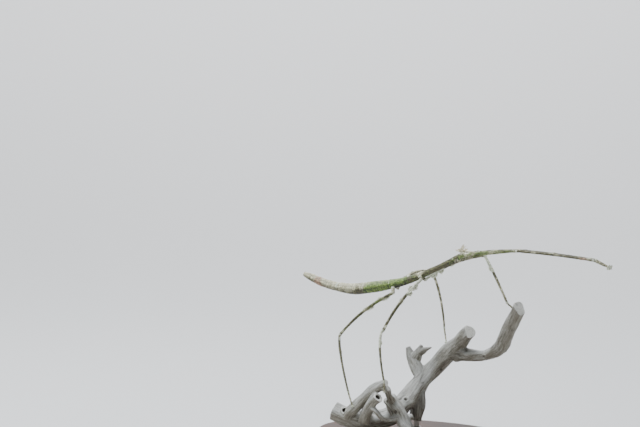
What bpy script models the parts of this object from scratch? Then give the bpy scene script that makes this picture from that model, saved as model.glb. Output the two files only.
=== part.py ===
"""Horned stick insect on a cut length of forked driftwood, held by a plain display stand.

The insect grips the driftwood with its middle and hind feet and stretches both forelegs ahead of
it, like a twig.  Lengths are millimetres and angles are degrees until MM turns the finished points
into metres.  +X runs towards the head, +Y to the insect's left and +Z up.  The origin is the middle
of the display base's underside.
"""

import math
from dataclasses import dataclass, field, replace

import bmesh
import bpy
from mathutils import Vector

MM = 0.001
# Neighbouring pieces are parted by this much.
GAP = 0.3
# Edges that turn by more than this stay crisp.
SHARP_ANGLE = 50.0

# Display stand: an oval base with a small chamfer, and two short rods with a foot flange each.
BASE_LENGTH = 124.0
BASE_WIDTH = 78.0
BASE_HEIGHT = 8.0
BASE_CHAMFER = 1.0
BASE_SIDES = 32
ROD_RADIUS = 1.6
FLANGE_RADIUS = 3.4
FLANGE_HEIGHT = 1.2
ROD_SIDES = 12
# Where each rod stands, X and Y, and a height inside the wood that rests on it.
REAR_ROD = (-27.0, -19.5, 17.0)
FORE_ROD = (-9.6, 10.0, 16.5)

# The body's middle line starts at the neck and runs back to the tail, bending in the XZ plane only.
NECK = Vector((20.3, 0.0, 105.6))
BODY_SIDES = 10
AXIS_STEP = 0.5
# Each row: distance behind the neck, slope of the middle line, half width and half height there.
BODY_STATIONS = (
    (0.0, 34.0, 1.15, 1.20),
    (3.5, 31.0, 1.45, 1.50),
    (8.5, 27.0, 1.40, 1.45),
    (16.0, 25.5, 1.45, 1.50),
    (22.0, 24.5, 1.65, 1.65),
    (28.0, 22.5, 1.95, 1.85),
    (34.0, 18.5, 2.10, 2.05),
    (40.0, 14.5, 2.45, 2.40),
    (46.0, 12.0, 2.75, 2.65),
    (53.0, 10.5, 3.00, 2.95),
    (61.0, 9.5, 3.10, 3.05),
    (66.0, 5.0, 3.05, 3.00),
    (71.0, -3.0, 2.90, 2.75),
    (77.0, -7.5, 2.60, 2.45),
    (84.0, -12.0, 2.50, 2.30),
    (90.0, -19.0, 2.30, 2.15),
    (96.0, -20.0, 1.85, 1.75),
    (99.5, -18.0, 1.35, 1.25),
)
# Body lengths, from the neck to the tail: name, length, and how far its hind rim flares.
BODY_LENGTHS = (
    ("prothorax", 4.4, 0.10),
    ("mesothorax", 22.0, 0.10),
    ("metathorax", 18.3, 0.12),
    ("abdomen_2", 6.8, 0.10),
    ("abdomen_3", 7.1, 0.16),
    ("abdomen_4", 8.4, 0.10),
    ("abdomen_5", 8.8, 0.16),
    ("abdomen_6", 7.8, 0.12),
    ("abdomen_7", 6.6, 0.10),
    ("abdomen_8", 4.2, 0.10),
    ("abdomen_tip", 4.8, 0.00),
)
RING_SPACING = 2.0
# The last ring of the tail is drawn in by this much.
TAIL_ROUNDING = 0.5
# Tubercles stand in pairs on every other ring of the thorax's back: first and last distance, height.
TUBERCLES = (6.0, 24.5, 0.45)
# The hump on the metathorax: distance behind the neck, reach along the body, height.
HUMP = (32.6, 1.9, 0.75)

# Head
HEAD_LENGTH = 7.0
HEAD_SLOPE = 18.0
# Each row: share of the head's length, half width, half height, lift of its middle.
HEAD_PROFILE = (
    (0.00, 1.05, 1.10, 0.00),
    (0.12, 1.45, 1.50, 0.05),
    (0.32, 1.62, 1.68, 0.15),
    (0.52, 1.66, 1.62, 0.15),
    (0.70, 1.55, 1.42, 0.05),
    (0.85, 1.25, 1.12, -0.10),
    (0.95, 0.85, 0.75, -0.25),
    (1.00, 0.45, 0.40, -0.30),
)
HEAD_SIDES = 12
EYE_RADIUS = 0.62
# Places on the head: share of its length, millimetres across and millimetres up.
EYE_PLACE = (0.66, 1.30, 0.45)
HORN_SIDES = 6
HORN_ROOT = (0.20, 0.75, 1.0)
HORN_FORK = (0.17, 1.00, 2.1)
HORN_RADII = (0.95, 0.62)
# Each limb of a horn: where it starts and ends, and its radii there.
HORN_LIMBS = (
    (HORN_FORK, (-0.18, 1.45, 3.9), (0.55, 0.22)),
    (HORN_FORK, (0.52, 0.90, 5.2), (0.60, 0.22)),
    (HORN_FORK, (0.14, 2.70, 3.6), (0.50, 0.20)),
    ((0.16, 0.85, 1.9), (0.54, 0.82, 2.0), (0.75, 0.50)),
    ((0.46, 0.80, 1.7), (0.66, 0.90, 2.5), (0.50, 0.22)),
)
ANTENNA_ROOT = (0.86, 0.62, 0.10)
ANTENNA_LENGTH = 34.0
ANTENNA_HEADING = -9.0
ANTENNA_SPLAY = 1.2
ANTENNA_SLOPE = 5.5
ANTENNA_SAG = 0.6
# Each row: share of the feeler's length and its radius there, the root joints first.
ANTENNA_PROFILE = (
    (0.0, 0.50), (0.045, 0.56), (0.06, 0.36), (0.09, 0.46), (0.11, 0.42), (0.35, 0.40), (0.60, 0.35),
    (0.85, 0.28), (1.0, 0.28),
)
MOUTH_SIDES = 8
MOUTH_SHARE = 0.72
# Each row: drop below the head's middle, half width, half length, and how far ahead its middle sits.
MOUTH_PROFILE = (
    (0.4, 0.80, 0.90, 0.0),
    (1.3, 0.78, 0.85, 0.25),
    (1.9, 0.60, 0.62, 0.40),
    (2.3, 0.34, 0.34, 0.45),
)

# Driftwood: corners round it, ring spacing, and the height of its lumps as a share of its radius.
WOOD_SIDES = 10
WOOD_STEP = 4.4
GNARL = 0.07
# The bore in the end of the hollow stub.
HOLLOW_RADII = (1.3, 0.9)
HOLLOW_DEPTH = 4.0
HOLLOW_SIDES = 9


@dataclass
class Ring:
    """One cross-section: its middle, its two axes and half sizes, and bumps by corner number."""

    centre: Vector
    side: Vector
    up: Vector
    half_width: float
    half_height: float
    bumps: dict = field(default_factory=dict)


@dataclass
class Lobe:
    """A leaf-like lobe on a leg: its place along the link, corner, height and half length."""

    place: float
    corner: int
    height: float
    reach: float


@dataclass
class Link:
    """One length of a leg, from the end of the one before it.

    heading turns about +Z from +X, slope rises from the horizontal, and bow is how far the middle
    stands off the straight line, sideways and upwards.
    """

    length: float
    heading: float
    slope: float
    radii: tuple
    bow: tuple = (0.0, 0.0)
    peak: float = 0.5
    lobes: tuple = ()


@dataclass
class Leg:
    """A leg: its root on the body, and its four links from the body outwards."""

    name: str
    station: float
    across: float
    drop: float
    coxa: Link
    femur: Link
    tibia: Link
    tarsus: Link


def clear_scene():
    """Remove every object of the scene."""
    for item in list(bpy.data.objects):
        bpy.data.objects.remove(item, do_unlink=True)


def make_material(name, colour, roughness, metallic=0.0):
    """Return a Principled material."""
    material = bpy.data.materials.new(name)
    material.use_nodes = True
    shader = material.node_tree.nodes["Principled BSDF"]
    shader.inputs["Base Color"].default_value = (*colour, 1.0)
    shader.inputs["Roughness"].default_value = roughness
    shader.inputs["Metallic"].default_value = metallic
    material.diffuse_color = (*colour, 1.0)
    return material


def lerp(first, second, share):
    """Mix two values."""
    return first + (second - first) * share


def sample(rows, position):
    """Read a table whose first column rises, with straight lines between its rows."""
    if position <= rows[0][0]:
        return rows[0][1:]
    for low, high in zip(rows, rows[1:]):
        if position <= high[0]:
            share = (position - low[0]) / (high[0] - low[0])
            return tuple(lerp(a, b, share) for a, b in zip(low[1:], high[1:]))
    return rows[-1][1:]


def directions(heading, slope):
    """Return the forward, sideways and upward directions of a heading and a slope in degrees."""
    turn = math.radians(heading)
    rise = math.radians(slope)
    forward = Vector((math.cos(turn) * math.cos(rise), math.sin(turn) * math.cos(rise), math.sin(rise)))
    side = Vector((-math.sin(turn), math.cos(turn), 0.0))
    return forward, side, forward.cross(side)


def add_object(name, mesh, material):
    """Link a mesh to the scene as an object; guides have no material."""
    item = bpy.data.objects.new(name, mesh)
    bpy.context.scene.collection.objects.link(item)
    if material is not None:
        item.data.materials.append(material)
    return item


def ring_corners(ring, sides, grow):
    """Return the corners of a cross-section, counted from its top towards its side axis."""
    corners = []
    for number in range(sides):
        angle = 2.0 * math.pi * number / sides
        extra = grow + ring.bumps.get(number, 0.0)
        rise = ring.up * (math.cos(angle) * (ring.half_height + extra))
        reach = ring.side * (math.sin(angle) * (ring.half_width + extra))
        corners.append((ring.centre + rise + reach) * MM)
    return corners


def loft(name, rings, sides, material=None, grow=0.0):
    """Skin a row of cross-sections into one closed object; grow makes it a size larger all round."""
    shell = bmesh.new()
    loops = []
    for number, ring in enumerate(rings):
        corners = ring_corners(ring, sides, grow)
        if grow and number in (0, len(rings) - 1):
            other = rings[1] if number == 0 else rings[-2]
            shift = (ring.centre - other.centre).normalized() * grow * MM
            corners = [corner + shift for corner in corners]
        loops.append([shell.verts.new(corner) for corner in corners])
    for low, high in zip(loops, loops[1:]):
        for number in range(sides):
            after = (number + 1) % sides
            shell.faces.new((low[number], low[after], high[after]))
            shell.faces.new((low[number], high[after], high[number]))
    shell.faces.new(list(reversed(loops[0])))
    shell.faces.new(loops[-1])
    bmesh.ops.recalc_face_normals(shell, faces=shell.faces[:])
    mesh = bpy.data.meshes.new(name)
    shell.to_mesh(mesh)
    shell.free()
    mesh.shade_smooth()
    mesh.set_sharp_from_angle(angle=math.radians(SHARP_ANGLE))
    return add_object(name, mesh, material)


def as_cutter(item):
    """Mark an object as a guide that only shapes others."""
    item.hide_render = True
    item.display_type = "WIRE"
    return item


def combine(item, other, operation):
    """Cut an object with a guide, or join the guide to it."""
    modifier = item.modifiers.new(operation.title(), "BOOLEAN")
    modifier.operation = operation
    modifier.solver = "EXACT"
    modifier.object = as_cutter(other)


# ----------------------------------------------------------------------------------- the body


def body_axis():
    """Walk the body's middle line and return its points, AXIS_STEP apart."""
    length = BODY_STATIONS[-1][0]
    steps = round(length / AXIS_STEP)
    points = [NECK.copy()]
    for number in range(steps):
        slope = math.radians(sample(BODY_STATIONS, (number + 0.5) * AXIS_STEP)[0])
        points.append(points[-1] - Vector((math.cos(slope), 0.0, math.sin(slope))) * AXIS_STEP)
    return points


AXIS = body_axis()


def body_point(distance):
    """Return the middle of the body at a distance behind the neck."""
    place = min(max(distance / AXIS_STEP, 0.0), len(AXIS) - 1.001)
    return AXIS[int(place)].lerp(AXIS[int(place) + 1], place % 1.0)


def body_ring(distance, flare=0.0, bumps=None):
    """Return the body's cross-section at a distance behind the neck."""
    slope, half_width, half_height = sample(BODY_STATIONS, distance)
    angle = math.radians(slope)
    up = Vector((-math.sin(angle), 0.0, math.cos(angle)))
    side = Vector((0.0, 1.0, 0.0))
    return Ring(body_point(distance), side, up, half_width + flare, half_height + flare, bumps or {})


def back_bumps(distance, ring_number):
    """Return the tubercles and the hump that a thorax ring carries."""
    first, last, height = TUBERCLES
    bumps = {}
    if first <= distance <= last and ring_number % 2:
        bumps = {1: height, BODY_SIDES - 1: height}
    place, reach, hump = HUMP
    rise = hump * max(0.0, 1.0 - abs(distance - place) / reach)
    if rise:
        bumps = {corner: rise for corner in (0, 1, BODY_SIDES - 1)}
    return bumps


def build_body(material_by_name):
    """Make the thorax and abdomen lengths, parted by thin cuts, and one guide a size larger."""
    start = 0.0
    for name, length, flare in BODY_LENGTHS:
        first = start + GAP / 2
        last = start + length - GAP / 2
        count = max(3, round(length / RING_SPACING))
        rings = []
        for number in range(count + 1):
            distance = lerp(first, last, number / count)
            swell = flare if number == count - 1 else 0.0
            rings.append(body_ring(distance, swell, back_bumps(distance, number)))
        if name == "abdomen_tip":
            rings.append(body_ring(last + TAIL_ROUNDING, -TAIL_ROUNDING))
        loft(name, rings, BODY_SIDES, material_by_name[name])
        start += length
    span = BODY_STATIONS[-1][0]
    count = round(span / RING_SPACING)
    rings = [body_ring(span * number / count) for number in range(count + 1)]
    return loft("guide_body", rings, BODY_SIDES, grow=GAP)


# ----------------------------------------------------------------------------------- the head


def head_frame():
    """Return the head's forward and upward directions."""
    angle = math.radians(HEAD_SLOPE)
    forward = Vector((math.cos(angle), 0.0, math.sin(angle)))
    up = Vector((-math.sin(angle), 0.0, math.cos(angle)))
    return forward, up


def head_place(share, across, rise, turn=1.0):
    """Return a point of the head; turn is 1 for the left side and -1 for the right."""
    forward, up = head_frame()
    side = Vector((0.0, across * turn, 0.0))
    return NECK + forward * (GAP + share * HEAD_LENGTH) + side + up * rise


def head_loft(name, material=None, grow=0.0):
    """Make the head capsule, or its guide."""
    _, up = head_frame()
    rings = []
    for share, half_width, half_height, lift in HEAD_PROFILE:
        centre = head_place(share, 0.0, lift)
        rings.append(Ring(centre, Vector((0.0, 1.0, 0.0)), up, half_width, half_height))
    return loft(name, rings, HEAD_SIDES, material, grow)


def cone(name, start, end, radii, sides, material=None):
    """Make a tapered peg between two points."""
    side = (end - start).orthogonal().normalized()
    up = side.cross((end - start).normalized())
    rings = [Ring(middle, side, up, size, size) for middle, size in zip((start, end), radii)]
    return loft(name, rings, sides, material)


def build_horn(name, turn, material, guide):
    """Make one antler-like horn of the crown, with its limbs grown together."""
    root = head_place(*HORN_ROOT, turn)
    fork = head_place(*HORN_FORK, turn)
    horn = cone(name, root, fork + (fork - root) * 0.3, HORN_RADII, HORN_SIDES, material)
    for number, (start, end, radii) in enumerate(HORN_LIMBS):
        ends = (head_place(*start, turn), head_place(*end, turn))
        combine(horn, cone(f"guide_{name}_{number}", *ends, radii, HORN_SIDES), "UNION")
    combine(horn, guide, "DIFFERENCE")


def build_eye(name, turn, material, guide):
    """Make one eye, set half its depth in the head."""
    ball = bmesh.new()
    bmesh.ops.create_uvsphere(ball, u_segments=10, v_segments=6, radius=EYE_RADIUS * MM)
    bmesh.ops.translate(ball, verts=ball.verts[:], vec=head_place(*EYE_PLACE, turn) * MM)
    mesh = bpy.data.meshes.new(name)
    ball.to_mesh(mesh)
    ball.free()
    mesh.shade_smooth()
    combine(add_object(name, mesh, material), guide, "DIFFERENCE")


def build_antenna(name, turn, material, guide):
    """Make one feeler: thick root joints, then a fine whip held forward over the forelegs."""
    root = head_place(*ANTENNA_ROOT, turn)
    along, side, up = directions(ANTENNA_HEADING + ANTENNA_SPLAY * turn, ANTENNA_SLOPE)
    rings = []
    for share, radius in ANTENNA_PROFILE:
        arch = 4.0 * ANTENNA_SAG * share * (1.0 - share)
        centre = root + along * (share * ANTENNA_LENGTH) + up * arch
        rings.append(Ring(centre, side, up, radius, radius))
    combine(loft(name, rings, HORN_SIDES, material), guide, "DIFFERENCE")


def build_mouth(material, guide):
    """Make the mouthparts: the lip and folded palps below the front of the head."""
    forward, _ = head_frame()
    rings = []
    for drop, half_width, half_length, ahead in MOUTH_PROFILE:
        centre = head_place(MOUTH_SHARE, 0.0, -drop) + forward * ahead
        rings.append(Ring(centre, Vector((0.0, 1.0, 0.0)), forward, half_width, half_length))
    combine(loft("mouthparts", rings, MOUTH_SIDES, material), guide, "DIFFERENCE")


# ----------------------------------------------------------------------------------- the legs

LEG_SIDES = 8
TARSUS_SIDES = 6
TOP, OUTER, UNDER = 0, 2, 4
# A leg's three upper links: name, number of plain steps, and how far the far joint swells.
UPPER_LINKS = (("coxa", 2, 0.0), ("femur", 5, 0.22), ("tibia", 5, 0.12))
JOINT_REACH = 1.4
# A link's rings stand no closer than this, and this far from its rounded ends; it is a little
# slimmer than it is deep, and a lobe lower than the last value is left out.
CLOSEST_RINGS = 0.9
END_MARGIN = 1.2
ROUND_END = 0.45
SLIMNESS = 0.92
LOWEST_LOBE = 0.05
# The rounded ends: how far past each end a ring sits, in round ends, and its share of the radius.
NEAR_CAP = ((-1.0, 0.55), (1.0, 0.92))
FAR_CAP = ((-1.0, 1.0), (0.6, 0.8), (1.5, 0.45))
# The foot: share of its length and of its radius, bead by bead, then the pad with its claws.
TARSUS_PROFILE = (
    (-0.04, 0.6), (0.03, 1.0), (0.26, 1.10), (0.31, 0.80), (0.46, 1.05), (0.51, 0.78), (0.62, 1.02),
    (0.67, 0.78), (0.86, 0.95), (0.94, 1.65), (1.0, 1.15),
)
PAD_START = 0.9
PAD_SPREAD = 1.35

FEMUR_HIND = (0.78, 0.62)
FEMUR_MID = (0.74, 0.58)
FEMUR_FORE = (0.66, 0.56)
TIBIA_HIND = (0.60, 0.44)
TIBIA_MID = (0.60, 0.44)
TIBIA_FORE = (0.58, 0.48)
TARSUS = (0.40, 0.40)

FEMUR_HIND_LOBES = (Lobe(0.17, UNDER, 0.75, 1.9), Lobe(0.24, TOP, 0.50, 1.6),
                    Lobe(0.42, UNDER, 0.65, 1.9), Lobe(0.50, TOP, 0.35, 1.4),
                    Lobe(0.93, OUTER, 0.30, 1.2))
FEMUR_MID_LOBES = (Lobe(0.16, UNDER, 1.00, 2.2), Lobe(0.22, TOP, 0.65, 1.7),
                   Lobe(0.30, UNDER, 0.95, 1.8), Lobe(0.60, TOP, 0.35, 1.4),
                   Lobe(0.93, OUTER, 0.30, 1.2))
FEMUR_FORE_LOBES = (Lobe(0.22, TOP, 0.55, 2.0), Lobe(0.36, TOP, 0.60, 1.2),
                    Lobe(0.95, TOP, 0.25, 1.2))
TIBIA_HIND_LOBES = (Lobe(0.08, TOP, 0.30, 1.2), Lobe(0.30, OUTER, 0.20, 1.4))
TIBIA_MID_LOBES = (Lobe(0.26, UNDER, 0.80, 1.7), Lobe(0.31, TOP, 0.45, 1.2))
TIBIA_FORE_LOBES = (Lobe(0.36, TOP, 0.30, 1.6), Lobe(0.93, TOP, 0.25, 1.4))

LEGS = (
    Leg("hind_right", 42.5, -1.9, 1.8,
        Link(3.5, -59.5, -48.5, (1.05, 0.85)),
        Link(37.0, -159.0, -39.0, FEMUR_HIND, (0.1, 2.0), lobes=FEMUR_HIND_LOBES),
        Link(34.0, -47.5, -55.0, TIBIA_HIND, (-1.2, 0.0), 0.35, TIBIA_HIND_LOBES),
        Link(8.6, -36.0, -52.0, TARSUS)),
    Leg("hind_left", 42.5, 1.9, 1.8,
        Link(2.5, 92.0, -25.0, (1.05, 0.85)),
        Link(37.0, 86.0, 9.0, FEMUR_HIND, (0.8, 3.8), 0.45, FEMUR_HIND_LOBES),
        Link(34.0, -38.5, -61.5, TIBIA_HIND, (1.4, 0.6), 0.45, TIBIA_HIND_LOBES),
        Link(8.6, -50.0, -59.0, TARSUS)),
    Leg("mid_right", 25.6, -1.5, 0.5,
        Link(2.5, -41.5, -25.0, (0.95, 0.80)),
        Link(34.3, -132.5, -51.0, FEMUR_MID, (-0.4, 1.5), lobes=FEMUR_MID_LOBES),
        Link(28.5, -60.0, -59.5, TIBIA_MID, (-1.8, 0.0), 0.33, TIBIA_MID_LOBES),
        Link(7.0, 114.0, -58.0, TARSUS)),
    Leg("mid_left", 25.6, 1.5, 0.5,
        Link(2.5, 23.0, -56.0, (0.95, 0.80)),
        Link(34.3, 23.5, 23.0, FEMUR_MID, (0.1, 2.5), 0.5, FEMUR_MID_LOBES),
        Link(28.5, -16.5, -57.0, TIBIA_MID, (0.2, 0.2), lobes=TIBIA_MID_LOBES),
        Link(7.0, 72.0, -34.0, TARSUS)),
    Leg("fore_right", 2.7, -1.1, 1.1,
        Link(2.5, -40.0, 6.0, (0.85, 0.70)),
        Link(36.5, -9.5, 11.0, FEMUR_FORE, (-0.1, 2.1), 0.25, FEMUR_FORE_LOBES),
        Link(41.5, -3.0, -3.5, TIBIA_FORE, (0.0, 0.4), lobes=TIBIA_FORE_LOBES),
        Link(8.6, 0.0, -21.0, TARSUS)),
    Leg("fore_left", 2.7, 1.1, 1.1,
        Link(2.5, 55.0, 8.0, (0.85, 0.70)),
        Link(36.5, -8.5, 10.5, FEMUR_FORE, (-0.1, 1.0), 0.25, FEMUR_FORE_LOBES),
        Link(41.5, -4.5, -3.5, TIBIA_FORE, (0.0, 0.4), lobes=TIBIA_FORE_LOBES),
        Link(8.6, -5.0, -24.0, TARSUS)),
)


def bow_share(share, peak):
    """Return how much of the bow shows at a share of the link: none at its ends, all at its peak."""
    skewed = share ** (math.log(0.5) / math.log(peak))
    return 4.0 * skewed * (1.0 - skewed)


def link_point(root, link, share):
    """Return a point of a link's middle line."""
    forward, side, up = directions(link.heading, link.slope)
    bow = bow_share(share, link.peak)
    return root + forward * (link.length * share) + side * (link.bow[0] * bow) + up * (link.bow[1] * bow)


def link_shares(link, count):
    """Return where a link's rings go: even steps, with more of them at each lobe."""
    shares = {number / count for number in range(1, count)}
    for lobe in link.lobes:
        reach = lobe.reach / link.length
        shares |= {lobe.place - reach, lobe.place, lobe.place + reach}
    kept = []
    margin = END_MARGIN / link.length
    for share in sorted(shares):
        if margin < share < 1.0 - margin:
            if not kept or (share - kept[-1]) * link.length > CLOSEST_RINGS:
                kept.append(share)
    return kept


def link_rings(root, link, count, swell):
    """Return the rings of a leg link, rounded at both ends and swollen at its far joint."""
    forward, side, up = directions(link.heading, link.slope)
    near, far = link.radii
    cap = ROUND_END / link.length
    shares = [(place * cap, scale) for place, scale in NEAR_CAP]
    shares += [(share, 1.0) for share in link_shares(link, count)]
    shares += [(1.0 + place * cap, scale) for place, scale in FAR_CAP]
    rings = []
    for share, scale in shares:
        inside = min(max(share, 0.0), 1.0)
        joint = math.exp(-((1.0 - inside) * link.length / JOINT_REACH) ** 2)
        radius = (lerp(near, far, inside) + swell * joint) * scale
        centre = link_point(root, link, inside) + forward * ((share - inside) * link.length)
        bumps = {}
        for lobe in link.lobes:
            rise = lobe.height * (1.0 - abs(share - lobe.place) * link.length / lobe.reach)
            if rise > LOWEST_LOBE:
                bumps[lobe.corner] = max(rise, bumps.get(lobe.corner, 0.0))
        rings.append(Ring(centre, side, up, radius * SLIMNESS, radius, bumps))
    return rings


def tarsus_rings(root, link):
    """Return the rings of a foot: four beads, then the long last joint with its pad and claws."""
    forward, side, up = directions(link.heading, link.slope)
    radius = link.radii[0]
    rings = []
    for share, scale in TARSUS_PROFILE:
        centre = root + forward * (share * link.length)
        spread = PAD_SPREAD if share > PAD_START else 1.0
        rings.append(Ring(centre, side, up, radius * scale * spread, radius * scale))
    return rings


def build_leg(leg, materials, body_guide):
    """Make a leg's four links, each cut to clear the one before it."""
    slope = math.radians(sample(BODY_STATIONS, leg.station)[0])
    down = Vector((math.sin(slope), 0.0, -math.cos(slope)))
    root = body_point(leg.station) + Vector((0.0, leg.across, 0.0)) + down * leg.drop
    guide = body_guide
    for part, count, swell in UPPER_LINKS:
        link = getattr(leg, part)
        name = f"{leg.name}_{part}"
        rings = link_rings(root, link, count, swell)
        combine(loft(name, rings, LEG_SIDES, materials[part]), guide, "DIFFERENCE")
        guide = loft(f"guide_{name}", rings, LEG_SIDES, grow=GAP)
        root = link_point(root, link, 1.0)
    foot = loft(f"{leg.name}_tarsus", tarsus_rings(root, leg.tarsus), TARSUS_SIDES, materials["tarsus"])
    combine(foot, guide, "DIFFERENCE")


# ----------------------------------------------------------------------------------- the perch


@dataclass
class Bough:
    """A length of driftwood: the number that varies its lumps, and rows of X, Y, Z and radius."""

    seed: int
    rows: tuple


# The main bough and the fork are each parted in two at this row.
CUT_ROW = 5.0
MAIN = Bough(1, (
    (-41.5, -25.0, 21.5, 4.7),
    (-34.0, -23.5, 18.8, 4.6),
    (-25.5, -18.5, 17.2, 4.7),
    (-17.0, -9.0, 18.2, 4.9),
    (-13.5, 3.0, 24.0, 5.1),
    (-11.5, 12.0, 30.0, 5.1),
    (-9.5, 20.0, 35.5, 4.8),
    (-5.0, 25.5, 42.0, 4.7),
    (3.0, 26.2, 50.0, 4.9),
    (10.7, 23.0, 57.0, 4.1),
    (17.6, 19.3, 63.0, 3.5),
))
FORK = Bough(2, (
    (5.5, 25.5, 48.8, 4.3),
    (10.0, 25.0, 49.6, 4.0),
    (16.0, 24.0, 49.4, 3.4),
    (24.2, 23.2, 50.0, 2.8),
    (29.9, 22.0, 52.4, 3.3),
    (35.1, 20.7, 55.9, 3.9),
    (38.3, 18.4, 61.2, 3.8),
    (43.9, 14.2, 70.1, 3.8),
    (50.1, 9.3, 79.2, 3.5),
))
TWIG = Bough(3, (
    (-10.5, 18.0, 35.5, 3.6),
    (-15.0, 20.5, 40.7, 3.4),
    (-18.9, 22.3, 45.2, 2.8),
    (-21.2, 22.6, 51.4, 1.3),
))
TWIG_PRONG = Bough(4, (
    (-17.5, 21.8, 44.0, 2.2),
    (-14.8, 22.5, 48.8, 2.2),
    (-11.3, 22.4, 49.8, 1.9),
    (-7.6, 22.3, 51.6, 1.0),
))
REAR_ROOT = Bough(5, (
    (-11.0, 14.0, 31.0, 4.2),
    (-9.5, 12.0, 24.5, 4.2),
    (-9.5, 10.5, 18.5, 3.8),
    (-9.8, 9.5, 13.5, 3.3),
))
FRONT_ROOT = Bough(6, (
    (-15.5, -5.0, 21.5, 3.4),
    (-13.5, -11.5, 27.0, 3.5),
    (-11.0, -15.5, 27.0, 3.8),
    (-6.5, -16.2, 21.8, 4.1),
    (-2.5, -17.2, 16.0, 3.9),
    (-1.0, -17.7, 12.2, 3.6),
))
SIDE_STUB = Bough(7, (
    (-33.5, -24.0, 19.5, 3.3),
    (-30.0, -27.3, 23.0, 3.2),
    (-25.4, -27.3, 27.0, 3.0),
    (-19.8, -27.0, 32.6, 2.9),
    (-14.5, -27.0, 36.8, 2.7),
    (-9.0, -27.0, 39.9, 2.4),
))
HOLLOW_STUB = Bough(8, (
    (-23.5, -20.0, 18.0, 3.6),
    (-22.0, -26.0, 19.5, 3.3),
    (-19.5, -28.4, 24.0, 2.9),
    (-16.0, -29.4, 29.2, 2.6),
    (-12.0, -30.2, 32.8, 2.5),
))


def curve(before, start, end, after, share):
    """Return a value between start and end on a smooth curve through all four."""
    bend = (2.0 * start + (end - before) * share
            + (2.0 * before - 5.0 * start + 4.0 * end - after) * share ** 2
            + (3.0 * start - before - 3.0 * end + after) * share ** 3)
    return 0.5 * bend


def close_rows(rows):
    """Return closely spaced rows along a smooth curve through a bough's own, numbered by them."""
    padded = (rows[0],) + rows + (rows[-1],)
    close = []
    for number in range(len(rows) - 1):
        four = padded[number:number + 4]
        span = (Vector(four[2][:3]) - Vector(four[1][:3])).length
        steps = max(1, round(span / WOOD_STEP))
        for step in range(steps):
            share = step / steps
            close.append((number + share, *(curve(*column, share) for column in zip(*four))))
    close.append((float(len(rows) - 1), *rows[-1]))
    return close


def bough_rings(bough):
    """Return a bough's rings, each with its row number, and gentle lumps that follow a rule."""
    rows = close_rows(bough.rows)
    centres = [Vector(row[1:4]) for row in rows]
    side = (centres[1] - centres[0]).orthogonal()
    rings = []
    for number, (place, *_, radius) in enumerate(rows):
        ahead = centres[min(number + 1, len(centres) - 1)]
        behind = centres[max(number - 1, 0)]
        along = (ahead - behind).normalized()
        side = (side - along * side.dot(along)).normalized()
        bumps = {}
        for corner in range(WOOD_SIDES):
            wave = math.sin(2.3 * corner + 1.1 * bough.seed)
            wave += math.sin(3.4 * place + 1.9 * corner + bough.seed)
            bumps[corner] = GNARL * radius * wave
        rings.append((place, Ring(centres[number], side, side.cross(along), radius, radius, bumps)))
    return rings


def stretch(bough, first=0.0, last=math.inf):
    """Return a bough's rings between two row numbers."""
    return [ring for place, ring in bough_rings(bough) if first <= place <= last]


def wood(name, bough, material=None, grow=0.0):
    """Make a whole bough, or its guide."""
    return loft(name, stretch(bough), WOOD_SIDES, material, grow)


def parted_wood(lower_name, upper_name, bough, material):
    """Make a bough parted in two by a thin cut, and return its lower length."""
    lower = stretch(bough, last=CUT_ROW)
    back = (lower[-2].centre - lower[-1].centre).normalized() * GAP
    lower[-1] = replace(lower[-1], centre=lower[-1].centre + back)
    loft(upper_name, stretch(bough, first=CUT_ROW), WOOD_SIDES, material)
    return loft(lower_name, lower, WOOD_SIDES, material)


def build_perch(material):
    """Make the driftwood, and return the guides of the two pieces that the rods reach."""
    trunk_guide = wood("guide_bough", MAIN, grow=GAP)
    side_guide = wood("guide_side_stub", SIDE_STUB, grow=GAP)
    parted_wood("perch_trunk", "perch_stem", MAIN, material)
    arm = parted_wood("perch_fork_arm", "perch_fork_tip", FORK, material)
    twig = wood("perch_twig", TWIG, material)
    combine(twig, wood("guide_prong", TWIG_PRONG), "UNION")
    hollow = wood("perch_hollow_stub", HOLLOW_STUB, material)
    rear = wood("perch_rear_root", REAR_ROOT, material)
    front = wood("perch_front_root", FRONT_ROOT, material)
    side = wood("perch_side_stub", SIDE_STUB, material)
    for item in (arm, twig, hollow, rear, front, side):
        combine(item, trunk_guide, "DIFFERENCE")
    combine(hollow, side_guide, "DIFFERENCE")
    inner, mouth = (Vector(row[:3]) for row in HOLLOW_STUB.rows[-2:])
    inward = (inner - mouth).normalized()
    bore = cone("guide_bore", mouth - inward, mouth + inward * HOLLOW_DEPTH, HOLLOW_RADII, HOLLOW_SIDES)
    combine(hollow, bore, "DIFFERENCE")
    return trunk_guide, wood("guide_root", REAR_ROOT, grow=GAP)


# ----------------------------------------------------------------------------------- the stand


def flat_ring(middle, half_length, half_width):
    """Return a level cross-section for a piece that stands upright."""
    return Ring(middle, Vector((1.0, 0.0, 0.0)), Vector((0.0, 1.0, 0.0)), half_length, half_width)


def build_base(material):
    """Make the oval display base."""
    profile = ((0.0, BASE_CHAMFER / 2), (BASE_CHAMFER / 2, 0.0), (BASE_HEIGHT - BASE_CHAMFER, 0.0),
               (BASE_HEIGHT, BASE_CHAMFER))
    rings = [
        flat_ring(Vector((0.0, 0.0, height)), BASE_LENGTH / 2 - inset, BASE_WIDTH / 2 - inset)
        for height, inset in profile
    ]
    loft("stand_base", rings, BASE_SIDES, material)


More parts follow.
